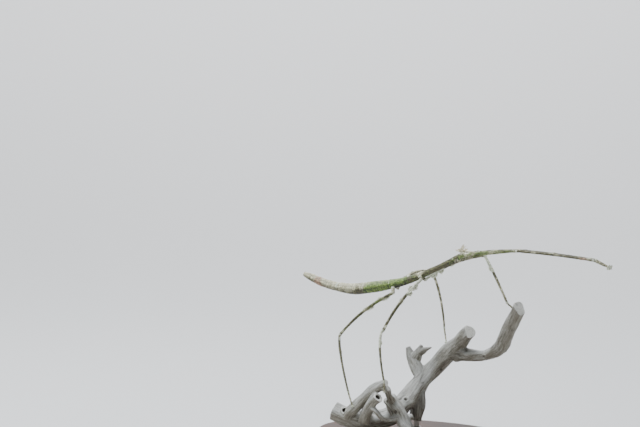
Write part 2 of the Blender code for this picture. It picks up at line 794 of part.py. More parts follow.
def build_rod(name, place, material, guide):
    """Make one rod with its foot flange, cut to seat against the driftwood."""
    across, along, top = place
    foot = BASE_HEIGHT + GAP
    profile = ((foot, FLANGE_RADIUS), (foot + FLANGE_HEIGHT / 2, FLANGE_RADIUS),
               (foot + FLANGE_HEIGHT, ROD_RADIUS), (top, ROD_RADIUS))
    rings = [flat_ring(Vector((across, along, height)), size, size) for height, size in profile]
    combine(loft(name, rings, ROD_SIDES, material), guide, "DIFFERENCE")


# ----------------------------------------------------------------------------------- all of it


def build_materials():
    """Return the materials by the part that wears them."""
    green = (0.135, 0.150, 0.065)
    olive = (0.170, 0.160, 0.085)
    cream = (0.330, 0.310, 0.220)
    rust = (0.200, 0.105, 0.055)
    brown = (0.190, 0.165, 0.120)
    body = {
        "prothorax": ("cuticle_prothorax", olive), "mesothorax": ("cuticle_mesothorax", olive),
        "metathorax": ("cuticle_metathorax", green), "abdomen_2": ("cuticle_abdomen_2", green),
        "abdomen_3": ("cuticle_abdomen_3", green), "abdomen_4": ("cuticle_abdomen_4", cream),
        "abdomen_5": ("cuticle_abdomen_5", cream), "abdomen_6": ("cuticle_abdomen_6", cream),
        "abdomen_7": ("cuticle_abdomen_7", rust), "abdomen_8": ("cuticle_abdomen_8", rust),
        "abdomen_tip": ("cuticle_abdomen_tip", brown),
    }
    materials = {name: make_material(label, colour, 0.6) for name, (label, colour) in body.items()}
    materials["coxa"] = make_material("cuticle_coxa", green, 0.6)
    materials["femur"] = make_material("cuticle_femur", brown, 0.6)
    materials["tibia"] = make_material("cuticle_tibia", brown, 0.6)
    materials["tarsus"] = make_material("cuticle_tarsus", cream, 0.6)
    materials["head"] = make_material("cuticle_head", olive, 0.55)
    materials["mouth"] = make_material("cuticle_mouth", brown, 0.5)
    materials["horn"] = make_material("horn_keratin", (0.420, 0.400, 0.300), 0.5)
    materials["antenna"] = make_material("cuticle_antenna", brown, 0.6)
    materials["eye"] = make_material("eye_cuticle", (0.080, 0.060, 0.035), 0.2)
    materials["wood"] = make_material("driftwood", (0.340, 0.300, 0.240), 0.8)
    materials["base"] = make_material("stained_beech", (0.040, 0.030, 0.025), 0.4)
    materials["rod"] = make_material("brushed_steel_rod", (0.560, 0.560, 0.550), 0.35, 1.0)
    return materials


def main():
    """Build the whole model."""
    clear_scene()
    materials = build_materials()
    body_guide = build_body(materials)
    head_loft("head", materials["head"])
    head_guide = head_loft("guide_head", grow=GAP)
    build_mouth(materials["mouth"], head_guide)
    for word, turn in (("left", 1.0), ("right", -1.0)):
        build_eye(f"eye_{word}", turn, materials["eye"], head_guide)
        build_horn(f"horn_{word}", turn, materials["horn"], head_guide)
        build_antenna(f"antenna_{word}", turn, materials["antenna"], head_guide)
    for leg in LEGS:
        build_leg(leg, materials, body_guide)
    trunk_guide, root_guide = build_perch(materials["wood"])
    build_base(materials["base"])
    build_rod("stand_rod_fore", FORE_ROD, materials["rod"], root_guide)
    build_rod("stand_rod_rear", REAR_ROD, materials["rod"], trunk_guide)


if __name__ == "__main__":
    main()
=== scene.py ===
"""Looks of a horned stick insect that stands on forked driftwood, on a small display stand.

One continuous cuticle covers the insect's body, head, feelers and legs; its eyes, horns and claws
are pieces of their own.  Shapes are worked out in millimetres and turned into metres by MM when
a mesh is made.  +X runs towards the head, +Y to the insect's left and +Z up.
"""

import logging
import math
from collections.abc import Callable
from dataclasses import dataclass, field
from enum import Enum, StrEnum, auto
from functools import partial

import bpy
import numpy as np
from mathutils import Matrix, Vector


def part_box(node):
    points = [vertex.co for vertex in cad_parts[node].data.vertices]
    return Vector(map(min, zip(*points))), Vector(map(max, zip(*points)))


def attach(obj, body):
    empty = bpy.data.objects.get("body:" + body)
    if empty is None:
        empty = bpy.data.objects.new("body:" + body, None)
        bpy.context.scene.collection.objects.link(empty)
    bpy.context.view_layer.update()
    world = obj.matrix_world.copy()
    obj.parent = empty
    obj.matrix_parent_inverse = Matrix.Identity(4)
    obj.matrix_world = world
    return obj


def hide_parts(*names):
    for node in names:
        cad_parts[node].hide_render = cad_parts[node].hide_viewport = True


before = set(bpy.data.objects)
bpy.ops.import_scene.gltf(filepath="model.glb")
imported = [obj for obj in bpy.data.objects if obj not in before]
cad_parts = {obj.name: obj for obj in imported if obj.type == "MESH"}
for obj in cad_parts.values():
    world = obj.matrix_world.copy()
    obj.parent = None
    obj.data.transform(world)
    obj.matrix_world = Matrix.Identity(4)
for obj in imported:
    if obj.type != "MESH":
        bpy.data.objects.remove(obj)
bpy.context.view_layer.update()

LOG = logging.getLogger("stick_insect")
Array = np.ndarray
Item = bpy.types.Object
Socket = bpy.types.NodeSocket
Tree = bpy.types.NodeTree
Adder = Callable[..., Socket]
Pair = tuple[float, float]
Triple = tuple[float, float, float]
Paint = dict[str, Array | float]

MM = 0.001
TURN = 2.0 * math.pi
BODY = "root"
# The name of the flat pattern map that each organic piece carries.
BAKE_MAP = "OFBake"
# The colour sockets of the Mix node, which has a set for each kind of value, and its settings.
SHARE, FROM, TO = 0, 6, 7
MIX = {"out": 2, "data_type": "RGBA"}
# The insect's left, and the two turns that mirror a part: right, then left.
LEFT = np.array([0.0, 1.0, 0.0])
TURNS = (-1.0, 1.0)
# Where the head meets the body, in millimetres.
NECK = (20.3, 0.0, 105.6)


class Tone(StrEnum):
    """What is painted on the cuticle: masks from 0 to 1, and how raised it is, from -1 to 1, which also
    paints shade in hollows and light on raised parts.
    """

    MOSS = auto()
    LICHEN = auto()
    RUST = auto()
    # Dark joints and tips, and painted shade on undersides and under the hump.
    SHADE = auto()
    CHALK = auto()
    # RELIEF also tints hollows darker and raised parts lighter: painted shade and painted light.
    RELIEF = auto()


class LobeSide(Enum):
    """Which side of a leg a lobe grows from, as an angle from its top."""

    TOP = 0.0
    OUTER = 90.0
    UNDER = 180.0


TOP, OUTER, UNDER = LobeSide


# ---- Numbers and noise


def linear(colour: str) -> tuple[float, ...]:
    """Turn an sRGB hex colour such as "#8a7f66" into linear red, green, blue and alpha."""
    parts = [int(colour[place:place + 2], 16) / 255.0 for place in (1, 3, 5)]
    return *(part / 12.92 if part <= 0.04045 else ((part + 0.055) / 1.055) ** 2.4 for part in parts), 1.0


def scatter(cells: Array, seed: int) -> Array:
    """Give each whole-numbered place a steady number.

    Args:
        cells: Whole numbers, three in the last axis.
        seed: Varies the numbers.

    Returns:
        Numbers from 0 to 1, one for each place.
    """
    whole = cells.astype(np.int64).astype(np.uint64)
    number = whole[..., 0] * np.uint64(73856093)
    number = number ^ (whole[..., 1] * np.uint64(19349663))
    number = number ^ (whole[..., 2] * np.uint64(83492791)) ^ np.uint64(seed * 2654435761)
    number = (number ^ (number >> np.uint64(15))) * np.uint64(2246822519)
    number = (number ^ (number >> np.uint64(13))) * np.uint64(3266489917)
    number = number ^ (number >> np.uint64(16))
    return (number & np.uint64(0xFFFFFF)).astype(float) / float(0x1000000)


def noise(points: Array, seed: int) -> Array:
    """Return smooth noise.

    Args:
        points: Places, three numbers in the last axis; the noise varies over about one unit.
        seed: Varies the noise.

    Returns:
        Values from -1 to 1.
    """
    base = np.floor(points)
    part = points - base
    ease = part ** 3 * (part * (part * 6.0 - 15.0) + 10.0)
    total = np.zeros(points.shape[:-1])
    for corner in np.ndindex(2, 2, 2):
        weight = np.where(np.array(corner, bool), ease, 1.0 - ease).prod(axis=-1)
        total += weight * scatter(base + np.array(corner), seed)
    return total * 2.0 - 1.0


def fractal(points: Array, seed: int, octaves: int = 3) -> Array:
    """Return noise with finer noise added to it, from about -1 to 1, twice as fine each octave."""
    total = sum(noise(points * 2.0 ** layer, seed + layer) / 2.0 ** layer for layer in range(octaves))
    return total / (2.0 - 0.5 ** (octaves - 1))


def grains(points: Array, seed: int) -> Array:
    """Return how far each place is from the nearest of a field of scattered grains.

    Args:
        points: Places, three numbers in the last axis, with about one grain to each unit cube.
        seed: Varies the grains.

    Returns:
        Distances, from 0 at a grain's middle.
    """
    base = np.floor(points)
    nearest = np.full(points.shape[:-1], 9.0)
    for step in np.ndindex(3, 3, 3):
        cell = base + np.array(step) - 1.0
        middle = cell + np.stack([scatter(cell, seed + axis) for axis in range(3)], axis=-1)
        nearest = np.minimum(nearest, ((middle - points) ** 2).sum(axis=-1))
    return np.sqrt(nearest)


def bell(offset: Array, width: float) -> Array:
    """Return a bump that is 1 where offset is 0 and fades over width."""
    return np.exp(-((offset / width) ** 2))


def ramp(value: Array, low: float, high: float) -> Array:
    """Return 0 below low, 1 above high and a smooth rise between."""
    share = np.clip((value - low) / (high - low), 0.0, 1.0)
    return share * share * (3.0 - 2.0 * share)


def wrap(angle: Array) -> Array:
    """Bring angles into the half turn either side of 0."""
    return (angle + math.pi) % TURN - math.pi


def unit(vector: Array) -> Array:
    """Return one vector scaled to length 1."""
    return vector / np.linalg.norm(vector)


def directions(heading: float, slope: float) -> tuple[Array, Array, Array]:
    """Return the forward, sideways and upward directions of a straight length.

    Args:
        heading: Turn about +Z from +X, in degrees.
        slope: Rise from the horizontal, in degrees.

    Returns:
        Three directions of length 1, square to one another.
    """
    turn, rise = math.radians(heading), math.radians(slope)
    forward = np.array([math.cos(turn) * math.cos(rise), math.sin(turn) * math.cos(rise), math.sin(rise)])
    side = np.array([-math.sin(turn), math.cos(turn), 0.0])
    return forward, side, np.cross(forward, side)


# ---- Shells


@dataclass
class Shell:
    """A closed surface in the making, in millimetres.

    quads and fans hold corner numbers, chart each face corner's place on a flat pattern of the
    surface, the quads' first, and paint a value for each point.
    """

    points: Array
    quads: Array
    fans: Array
    chart: Array
    paint: dict[str, Array]


def tube(rings: Array, paint: Paint | None = None) -> Shell:
    """Skin a row of closed cross-sections, close both ends and face everything outwards.

    Args:
        rings: Points as rings, corners and X, Y, Z, in millimetres.
        paint: Masks by name, each one number, or numbers by ring, or by ring and corner.

    Returns:
        The shell.
    """
    count, corners = rings.shape[:2]
    number = np.arange(count * corners).reshape(count, corners)
    after = np.roll(number, -1, axis=1)
    quads = np.stack([number[:-1], after[:-1], after[1:], number[1:]], axis=-1).reshape(-1, 4)
    middles = rings.mean(axis=1)
    along = np.concatenate([[0.0], np.cumsum(np.linalg.norm(np.diff(middles, axis=0), axis=1))])
    girth = np.linalg.norm(rings - np.roll(rings, -1, axis=1), axis=2).sum(axis=1).max()
    across = np.linspace(0.0, girth, corners + 1)
    low = np.stack(np.meshgrid(along, across[:-1], indexing="ij"), axis=-1)
    high = np.stack(np.meshgrid(along, across[1:], indexing="ij"), axis=-1)
    quad_chart = np.stack([low[:-1], high[:-1], high[1:], low[1:]], axis=2).reshape(-1, 4, 2)
    fans, fan_chart = [], []
    for ring, step in ((0, -1), (count - 1, 1)):
        centre = count * corners + (ring > 0)
        tip = np.array([along[ring] + step * girth / TURN, girth / 2.0])
        for corner in range(corners):
            fans.append([*[number[ring, corner], after[ring, corner]][::step], centre])
            fan_chart.append([*[low[ring, corner], high[ring, corner]][::step], tip])
    fans, fan_chart = np.array(fans), np.array(fan_chart)
    points = np.concatenate([rings.reshape(-1, 3), middles[[0, -1]]])
    halves = np.concatenate([quads[:, [0, 1, 2]], quads[:, [0, 2, 3]], fans])
    first, second, third = (points[halves[:, corner]] for corner in range(3))
    way = 1 if (first * np.cross(second, third)).sum() >= 0.0 else -1
    chart = np.concatenate([quad_chart[:, ::way].reshape(-1, 2), fan_chart[:, ::way].reshape(-1, 2)])
    masks = {}
    for name, mask in (paint or {}).items():
        full = np.broadcast_to(mask, (count, corners))
        masks[name] = np.concatenate([full.reshape(-1), full[[0, -1]].mean(axis=1)])
    return Shell(points, quads[:, ::way], fans[:, ::way], chart, masks)


def sweep(
    middles: Array, side: Array, up: Array, half_width: Array, half_height: Array, angles: Array,
    extra: Array | float = 0.0,
) -> Array:
    """Lay cross-sections along a line.

    Args:
        middles: Their middles, one row each.
        side: The direction of half_width, one for all or one for each.
        up: The direction of half_height, one for all or one for each.
        half_width: Their half widths.
        half_height: Their half heights.
        angles: The corners' angles from up towards side.
        extra: How far each corner stands out further, as rings and corners.

    Returns:
        Points as rings, corners and X, Y, Z.
    """
    rise = (np.cos(angles) * (np.reshape(half_height, (-1, 1)) + extra))[..., None]
    reach = (np.sin(angles) * (np.reshape(half_width, (-1, 1)) + extra))[..., None]
    up, side = np.broadcast_to(up, middles.shape), np.broadcast_to(side, middles.shape)
    return middles[:, None, :] + up[:, None, :] * rise + side[:, None, :] * reach


def corner_angles(corners: int) -> Array:
    """Return evenly spaced angles round a cross-section."""
    return np.arange(corners) * TURN / corners


@dataclass
class PatternSheet:
    """A square sheet on which flat patterns are laid in rows, so that none covers another."""

    size: float
    gap: float = 0.5
    along: float = 0.0
    row: float = 0.0
    tallest: float = 0.0

    def lay(self, shell: Shell) -> None:
        """Lay a shell's flat pattern in the next free place.

        Args:
            shell: The shell, whose chart is moved there.
        """
        low = shell.chart.min(axis=0)
        width, height = shell.chart.max(axis=0) - low
        if self.along + width > self.size:
            self.along, self.row, self.tallest = 0.0, self.row + self.tallest + self.gap, 0.0
        shell.chart = shell.chart + (np.array([self.along, self.row]) - low)
        self.along += width + self.gap
        self.tallest = max(self.tallest, height)


def show(name: str, data: bpy.types.ID) -> Item:
    """Put a mesh, a lamp or a camera into the scene.

    Args:
        name: The object's name.
        data: What it shows.

    Returns:
        The object.
    """
    item = bpy.data.objects.new(name, data)
    bpy.context.scene.collection.objects.link(item)
    return item


def add_mesh(name: str, shell: Shell, sheet_size: float = 0.0) -> Item:
    """Make a shell into an object.

    Args:
        name: The object's name.
        shell: The surface.
        sheet_size: The pattern sheet's size, or 0 to fit the sheet to this one pattern.

    Returns:
        The object, with its paint and its bake map on its face corners.
    """
    mesh = bpy.data.meshes.new(name)
    mesh.from_pydata((shell.points * MM).tolist(), [], shell.quads.tolist() + shell.fans.tolist())
    owners = np.concatenate([shell.quads.reshape(-1), shell.fans.reshape(-1)])
    for mask, values in shell.paint.items():
        layer = mesh.attributes.new(mask, "FLOAT", "CORNER")
        layer.data.foreach_set("value", values[owners].astype(np.float32))
    if not sheet_size:
        shell.chart = shell.chart - shell.chart.min(axis=0)
        sheet_size = float(shell.chart.max())
    uv_map = mesh.uv_layers.new(name=BAKE_MAP)
    uv_map.data.foreach_set("uv", (shell.chart / sheet_size).reshape(-1).astype(np.float32))
    mesh.shade_smooth()
    return show(name, mesh)


def settle(item: Item) -> None:
    """Turn an object's modifiers into its mesh.

    Args:
        item: The object.
    """
    shown = item.evaluated_get(bpy.context.evaluated_depsgraph_get())
    mesh = bpy.data.meshes.new_from_object(shown)
    item.modifiers.clear()
    old, item.data = item.data, mesh
    bpy.data.meshes.remove(old)


def unite(items: list[Item]) -> Item:
    """Grow objects together into one closed surface.

    Args:
        items: The objects, of which only the first stays.

    Returns:
        The first object, with the joined mesh.
    """
    item, *others = items
    group = bpy.data.collections.new(f"{item.name}_parts")
    bpy.context.scene.collection.children.link(group)
    for other in others:
        group.objects.link(other)
    union = item.modifiers.new("Unite", "BOOLEAN")
    union.operation, union.solver = "UNION", "MANIFOLD"
    union.operand_type, union.collection = "COLLECTION", group
    settle(item)
    for other in others:
        bpy.data.objects.remove(other, do_unlink=True)
    bpy.data.collections.remove(group)
    item.data.shade_smooth()
    return item


def place_piece(item: Item, finish: "Finish", nodes: list[str]) -> None:
    """Dress a piece, fix it to the model and say which solids it stands for.

    Args:
        item: The piece.
        finish: Its material.
        nodes: The names of the solids that it replaces.
    """
    item.data.materials.clear()
    item.data.materials.append(finish.material())
    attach(item, BODY)
    if nodes:
        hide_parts(*nodes)
    LOG.info("%s: %d faces, for %s", item.name, len(item.data.polygons), ", ".join(nodes) or "detail")


# ---- Materials


def plug(tree: Tree, socket: Socket, value: object) -> None:
    """Feed a socket.

    Args:
        tree: The node tree that it is in.
        socket: The input.
        value: Another node's output, a hex colour or the socket's own kind of value.
    """
    if isinstance(value, Socket):
        tree.links.new(value, socket)
    else:
        socket.default_value = linear(value) if isinstance(value, str) else value


def node(
    tree: Tree, kind: str, inputs: dict | None = None, out: int | str = 0, stops: tuple = (),
    **settings: object,
) -> Socket:
    """Add a node with its settings and links.

    Args:
        tree: The material's node tree.
        kind: The node's kind, such as "TexNoise".
        inputs: A value, a hex colour or another node's output for each input, by name or number.
        out: The name or number of the output that is wanted.
        stops: Places and hex colours of a colour ramp.
        **settings: The node's own settings.

    Returns:
        The output.
    """
    made = tree.nodes.new(f"ShaderNode{kind}")
    for name, setting in settings.items():
        setattr(made, name, setting)
    if stops:
        elements = made.color_ramp.elements
        while len(elements) < len(stops):
            elements.new(0.5)
        for element, (place, colour) in zip(elements, stops):
            element.position, element.color = place, linear(colour)
    for name, value in (inputs or {}).items():
        plug(tree, made.inputs[name], value)
    return made.outputs[out]


@dataclass(frozen=True)
class Finish:
    """A finish: its material's name, the record's slot, and the shader's constant values."""

    title: str
    slot: str
    roughness: float = 0.5
    ior: float = 1.5

    def dress(self, add: Adder) -> dict[str, object]:
        """Add the finish's own nodes, and return what goes into the shader's sockets."""
        raise NotImplementedError

    def material(self) -> bpy.types.Material:
        """Return the finish's material, which is made the first time that it is asked for.

        Returns:
            The material.
        """
        known = bpy.data.materials.get(self.title)
        if known is not None:
            return known
        made = bpy.data.materials.new(self.title)
        made.use_nodes = True
        tree = made.node_tree
        constants = {"Roughness": self.roughness, "IOR": self.ior}
        for name, value in (constants | self.dress(partial(node, tree))).items():
            plug(tree, tree.nodes["Principled BSDF"].inputs[name], value)
        return made


def per_metre(size: float) -> float:
    """Return a texture scale that repeats a pattern once in a size in millimetres."""
    return 1.0 / (size * MM)


@dataclass(frozen=True)
class LichenCuticle(Finish):
    """Chitin cuticle as grown: matt, granular, blotched like bark with lichen and moss on it.

    The blotches break up the long plain outline, and pale grains with painted light on them show on every
    ridge.  Hollows get painted shade and raised parts painted light.
    """

    bark: tuple[str, str] = ("#37341f", "#6e6946")
    moss: tuple[str, str] = ("#3b5220", "#94ab52")
    lichen: tuple[str, str] = ("#8e8967", "#dcd8b8")
    rust: tuple[str, str] = ("#785a40", "#c0a184")
    # The shade tone: dark joints, and painted shade on undersides and under the hump.
    shade: tuple[str, str] = ("#29261a", "#29261a")
    chalk: tuple[str, str] = ("#b4ba98", "#f0f1df")
    # Sizes in millimetres: blotches, mottling inside them, and the grains of the surface.  The
    # real grains are nearer 0.1, too fine to show, so they are drawn coarser.
    blotch: float = 2.6
    mottle: float = 0.75
    grain: float = 0.34
    grain_height: float = 0.05

    def dress(self, add: Adder) -> dict[str, object]:
        """Mix the bark, moss, lichen, rust, shade and chalk tones by their painted masks, then add painted
        shade in hollows and painted light on ridges and grains.

        Args:
            add: Adds a node to the material.

        Returns:
            What goes into the shader's sockets, by name.
        """
        place = add("TexCoord", out="Object")
        blotch, mottle = (
            add("TexNoise", {"Vector": place, "Scale": per_metre(size), "Detail": detail, "Roughness": rough})
            for size, detail, rough in ((self.blotch, 4.0, 0.62), (self.mottle, 3.0, 0.6))
        )
        grain = add("TexVoronoi", {"Vector": place, "Scale": per_metre(self.grain)}, feature="F1")
        light = add("MapRange", {"Value": mottle, "From Min": 0.36, "From Max": 0.66},
                    interpolation_type="SMOOTHSTEP")
        colour = add("Mix", {SHARE: light, FROM: self.bark[0], TO: self.bark[1]}, **MIX)
        wave = add("Math", {0: blotch, 1: -0.5}, operation="ADD")
        # Each tone's colours, and how ragged the blotches make the edge of its mask.
        layers = (
            (Tone.MOSS, self.moss, 1.1), (Tone.LICHEN, self.lichen, 1.0), (Tone.RUST, self.rust, 1.0),
            (Tone.SHADE, self.shade, 1.2), (Tone.CHALK, self.chalk, 0.9),
        )
        for tone, (dark, pale), raggedness in layers:
            mask = add("Attribute", out="Fac", attribute_name=tone)
            ragged = add("Math", {0: wave, 1: raggedness, 2: mask}, operation="MULTIPLY_ADD")
            share = add("MapRange", {"Value": ragged, "From Min": 0.3, "From Max": 0.7},
                        interpolation_type="SMOOTHSTEP")
            paint = add("Mix", {SHARE: light, FROM: dark, TO: pale}, **MIX)
            colour = add("Mix", {SHARE: share, FROM: colour, TO: paint}, **MIX)
        # Painted shade and light: the relief darkens hollows and lightens raised parts.  Grain middles are
        # paler, partly as pale grains and partly as painted light.
        relief = add("Attribute", out="Fac", attribute_name=Tone.RELIEF)
        depth = add("MapRange", {"Value": relief, "From Min": -1.0, "To Min": 0.45, "To Max": 1.3})
        grain_paleness_and_light = add("MapRange", {"Value": grain, "From Min": 0.1, "From Max": 0.65,
                                   "To Min": 1.18, "To Max": 0.84})
        tint = add("Math", {0: depth, 1: grain_paleness_and_light}, operation="MULTIPLY")
        rough = add("MapRange", {"Value": mottle, "To Min": self.roughness - 0.12,
                                 "To Max": self.roughness + 0.16})
        height = add("Math", {0: grain, 1: -1.0, 2: mottle}, operation="MULTIPLY_ADD")
        return {
            "Base Color": add("VectorMath", {0: colour, "Scale": tint}, operation="SCALE"),
            "Roughness": rough,
            "Normal": add("Bump", {"Height": height, "Strength": 0.7, "Distance": self.grain_height * MM}),
        }


@dataclass(frozen=True)
class HornChitin(Finish):
    """Thick pale chitin of the horns and claws: waxy, and browner towards the tips."""

    root: str = "#e2dec6"
    tip: str = "#b19e78"
    # Millimetres: size of the cloudy streaks.
    streak: float = 0.5

    def dress(self, add: Adder) -> dict[str, object]:
        """Blend from the root's colour to the tip's, with short streaks.

        Args:
            add: Adds a node to the material.

        Returns:
            What goes into the shader's sockets, by name.
        """
        place = add("TexCoord", out="Object")
        cloud = add("TexNoise", {"Vector": place, "Scale": per_metre(self.streak), "Detail": 3.0,
                                 "Roughness": 0.6})
        mask = add("Attribute", out="Fac", attribute_name=Tone.SHADE)
        share = add("Math", {0: cloud, 1: 0.7, 2: mask}, operation="MULTIPLY_ADD")
        toned = add("MapRange", {"Value": share, "From Min": 0.25, "From Max": 1.2},
                    interpolation_type="SMOOTHSTEP")
        colour = add("Mix", {SHARE: toned, FROM: self.root, TO: self.tip}, **MIX)
        bump = add("Bump", {"Height": cloud, "Strength": 0.4, "Distance": 0.04 * MM})
        return {"Base Color": colour, "Normal": bump}


@dataclass(frozen=True)
class FacetedEye(Finish):
    """Compound eye: glossy cornea over brown facets, with darker bands along it.

    Real facets are about 0.03 mm across, too fine to show, so they are drawn twice as wide.
    """

    facet: float = 0.06
    band: float = 0.42
    dark: str = "#20150c"
    light: str = "#8a6a3c"

    def dress(self, add: Adder) -> dict[str, object]:
        """Band the eye and raise its facets.

        Args:
            add: Adds a node to the material.

        Returns:
            What goes into the shader's sockets, by name.
        """
        place = add("TexCoord", out="Object")
        facets = add("TexVoronoi", {"Vector": place, "Scale": per_metre(self.facet)}, feature="F1")
        bands = add("TexWave", {"Vector": place, "Scale": per_metre(self.band) / TURN,
                                "Distortion": 1.4, "Detail": 1.0}, "Fac", bands_direction="Z")
        colour = add("Mix", {SHARE: bands, FROM: self.dark, TO: self.light}, **MIX)
        bump = add("Bump", {"Height": facets, "Strength": 0.35, "Distance": 0.02 * MM}, invert=True)
        return {"Base Color": colour, "Normal": bump, "Coat Weight": 0.6}


@dataclass(frozen=True)
class WeatheredDriftwood(Finish):
    """Bare driftwood, tumbled smooth by water and bleached dry: grey, with open grain.

    The grain runs along each bough, the checks are painted dark brown as shade in them, and sawn
    ends are paler with rings.  Upward faces are silver, as sun bleaching and painted top light, and
    undersides brown, as painted shade.
    """

    grain: tuple[str, str, str] = ("#605b50", "#888479", "#b1b0a5")
    # silver paints the upward faces, as sun bleaching and painted top light, and brown the downward faces, as
    # painted shade.
    silver: str = "#b5b8b6"
    brown: str = "#5d5240"
    # check paints the checks and other recesses dark: painted shade in them.
    check: str = "#33291d"
    sawn: tuple[str, str] = ("#cfccc1", "#ecece5")
    # Millimetres: width of grain streaks, fine fibres, crack spacing, stains and growth rings.
    streak: float = 0.9
    fibre: float = 0.2
    crack: float = 1.5
    stain: float = 11.0
    ring: float = 0.42

    def dress(self, add: Adder) -> dict[str, object]:
        """Draw streaks along the fibres, stains and sawn ends, painted shade in the checks, and painted top
        light and underside shade.

        Args:
            add: Adds a node to the material.

        Returns:
            What goes into the shader's sockets, by name.
        """
        fibre = add("Attribute", out="Vector", attribute_name="fibre")
        bleach, radial, sawn, groove = (
            add("Attribute", out="Fac", attribute_name=name)
            for name in ("bleach", "radial", "sawn", "groove")
        )
        place = add("TexCoord", out="Object")
        streaks, fibres, cracks, stains = (
            add("TexNoise", {"Vector": vector, "Scale": scale, "Detail": detail, "Roughness": rough})
            for vector, scale, detail, rough in (
                (fibre, 1.0 / self.streak, 4.0, 0.6), (fibre, 1.0 / self.fibre, 2.0, 0.6),
                (fibre, 1.0 / self.crack, 1.0, 0.4), (place, per_metre(self.stain), 3.0, 0.55),
            )
        )
        # A crack runs where its noise crosses the middle, and only in some of the streaks.
        middle = add("Math", {0: cracks, 1: -0.5}, operation="ADD")
        off = add("Math", {0: middle}, operation="ABSOLUTE")
        line = add("MapRange", {"Value": off, "From Min": 0.016, "From Max": 0.003, "To Max": 0.75})
        broken = add("MapRange", {"Value": streaks, "From Min": 0.5, "From Max": 0.62})
        crack = add("Math", {0: line, 1: broken}, operation="MULTIPLY")
        mixed = add("Math", {0: fibres, 1: 0.6, 2: streaks}, operation="MULTIPLY_ADD")
        grey = add("ValToRGB", {"Fac": mixed}, stops=tuple(zip((0.6, 0.78, 0.98), self.grain)))
        # Upward faces turn silver and downward faces brown: sun bleaching, and painted top light and
        # underside shade.
        sunned_and_lit = add("Math", {0: stains, 1: 0.9, 2: bleach}, operation="MULTIPLY_ADD")
        silvered_and_lit = add("MapRange", {"Value": sunned_and_lit, "From Min": 0.9, "From Max": 1.55, "To Max": 0.45})
        browned_and_shaded = add("MapRange", {"Value": sunned_and_lit, "From Min": 0.85, "From Max": 0.35, "To Max": 0.62})
        wobble = add("Math", {0: stains, 1: 2.0, 2: radial}, operation="MULTIPLY_ADD")
        phase = add("Math", {0: wobble, 1: TURN / self.ring}, operation="MULTIPLY")
        wave = add("Math", {0: phase}, operation="SINE")
        rings = add("MapRange", {"Value": wave, "From Min": -1.0, "From Max": 0.4})
        end_grain = add("Mix", {SHARE: rings, FROM: self.sawn[0], TO: self.sawn[1]}, **MIX)
        # Checks, cracks, splits, knot holes and bored hollows are painted dark: painted shade in the
        # recesses.
        shaded_recesses = add("Math", {0: groove, 1: crack}, operation="MAXIMUM")
        colour = grey
        for share, tone in (
            (silvered_and_lit, self.silver), (browned_and_shaded, self.brown), (sawn, end_grain), (shaded_recesses, self.check),
        ):
            colour = add("Mix", {SHARE: share, FROM: colour, TO: tone}, **MIX)
        rough = add("MapRange", {"Value": streaks, "To Min": self.roughness + 0.12,
                                 "To Max": self.roughness - 0.1})
        height = add("Math", {0: crack, 1: -1.2, 2: mixed}, operation="MULTIPLY_ADD")
        bump = add("Bump", {"Height": height, "Strength": 0.6, "Distance": 0.18 * MM})
        return {"Base Color": colour, "Roughness": rough, "Normal": bump}


@dataclass(frozen=True)
class StainedBeech(Finish):
    """Beech, turned and stained dark, under satin lacquer: short ray flecks show through."""

    dark: str = "#2a1a12"
    light: str = "#5a3a24"
    # Millimetres: length and width of the grain, and length of the flecks.
    length: float = 38.0
    width: float = 1.6
    fleck: float = 1.1

    def dress(self, add: Adder) -> dict[str, object]:
        """Draw the grain along X with flecks in it.

        Args:
            add: Adds a node to the material.

        Returns:
            What goes into the shader's sockets, by name.
        """
        place = add("TexCoord", out="Object")
        along, dash = (
            add("VectorMath", {0: place, 1: (per_metre(length), per_metre(width), per_metre(width))},
                operation="MULTIPLY")
            for length, width in ((self.length, self.width), (self.fleck * 3.0, self.fleck * 0.3))
        )
        grain = add("TexNoise", {"Vector": along, "Scale": 1.0, "Detail": 5.0})
        flecks = add("TexVoronoi", {"Vector": dash, "Scale": 1.0}, feature="F1")
        marks = add("MapRange", {"Value": flecks, "From Min": 0.32, "From Max": 0.12, "To Max": 0.5})
        share = add("MapRange", {"Value": grain, "From Min": 0.35, "From Max": 0.68})
        colour = add("Mix", {SHARE: share, FROM: self.dark, TO: self.light}, **MIX)
        colour = add("Mix", {SHARE: marks, FROM: colour, TO: self.dark}, **MIX)
        bump = add("Bump", {"Height": grain, "Strength": 0.12, "Distance": 0.1 * MM})
        return {
            "Base Color": colour, "Normal": bump, "Coat Weight": 0.12, "Coat Roughness": 0.35,
            "Specular IOR Level": 0.35,
        }


@dataclass(frozen=True)
class BrushedSteel(Finish):
    """Stainless steel rod, brushed along its length, so its highlight runs up it in fine lines."""

    base: str = "#b7b6b1"
    # Millimetres: length and width of the brush lines, drawn coarser than real ones to show.
    length: float = 12.0
    width: float = 0.22

    def dress(self, add: Adder) -> dict[str, object]:
        """Vary the roughness and height along the brushing.

        Args:
            add: Adds a node to the material.

        Returns:
            What goes into the shader's sockets, by name.
        """
        place = add("TexCoord", out="Object")
        stretch = (per_metre(self.width), per_metre(self.width), per_metre(self.length))
        along = add("VectorMath", {0: place, 1: stretch}, operation="MULTIPLY")
        lines = add("TexNoise", {"Vector": along, "Scale": 1.0, "Detail": 3.0})
        rough = add("MapRange", {"Value": lines, "To Min": self.roughness - 0.1,
                                 "To Max": self.roughness + 0.14})
        bump = add("Bump", {"Height": lines, "Strength": 0.2, "Distance": 0.02 * MM})
        return {"Base Color": self.base, "Metallic": 1.0, "Roughness": rough, "Normal": bump}


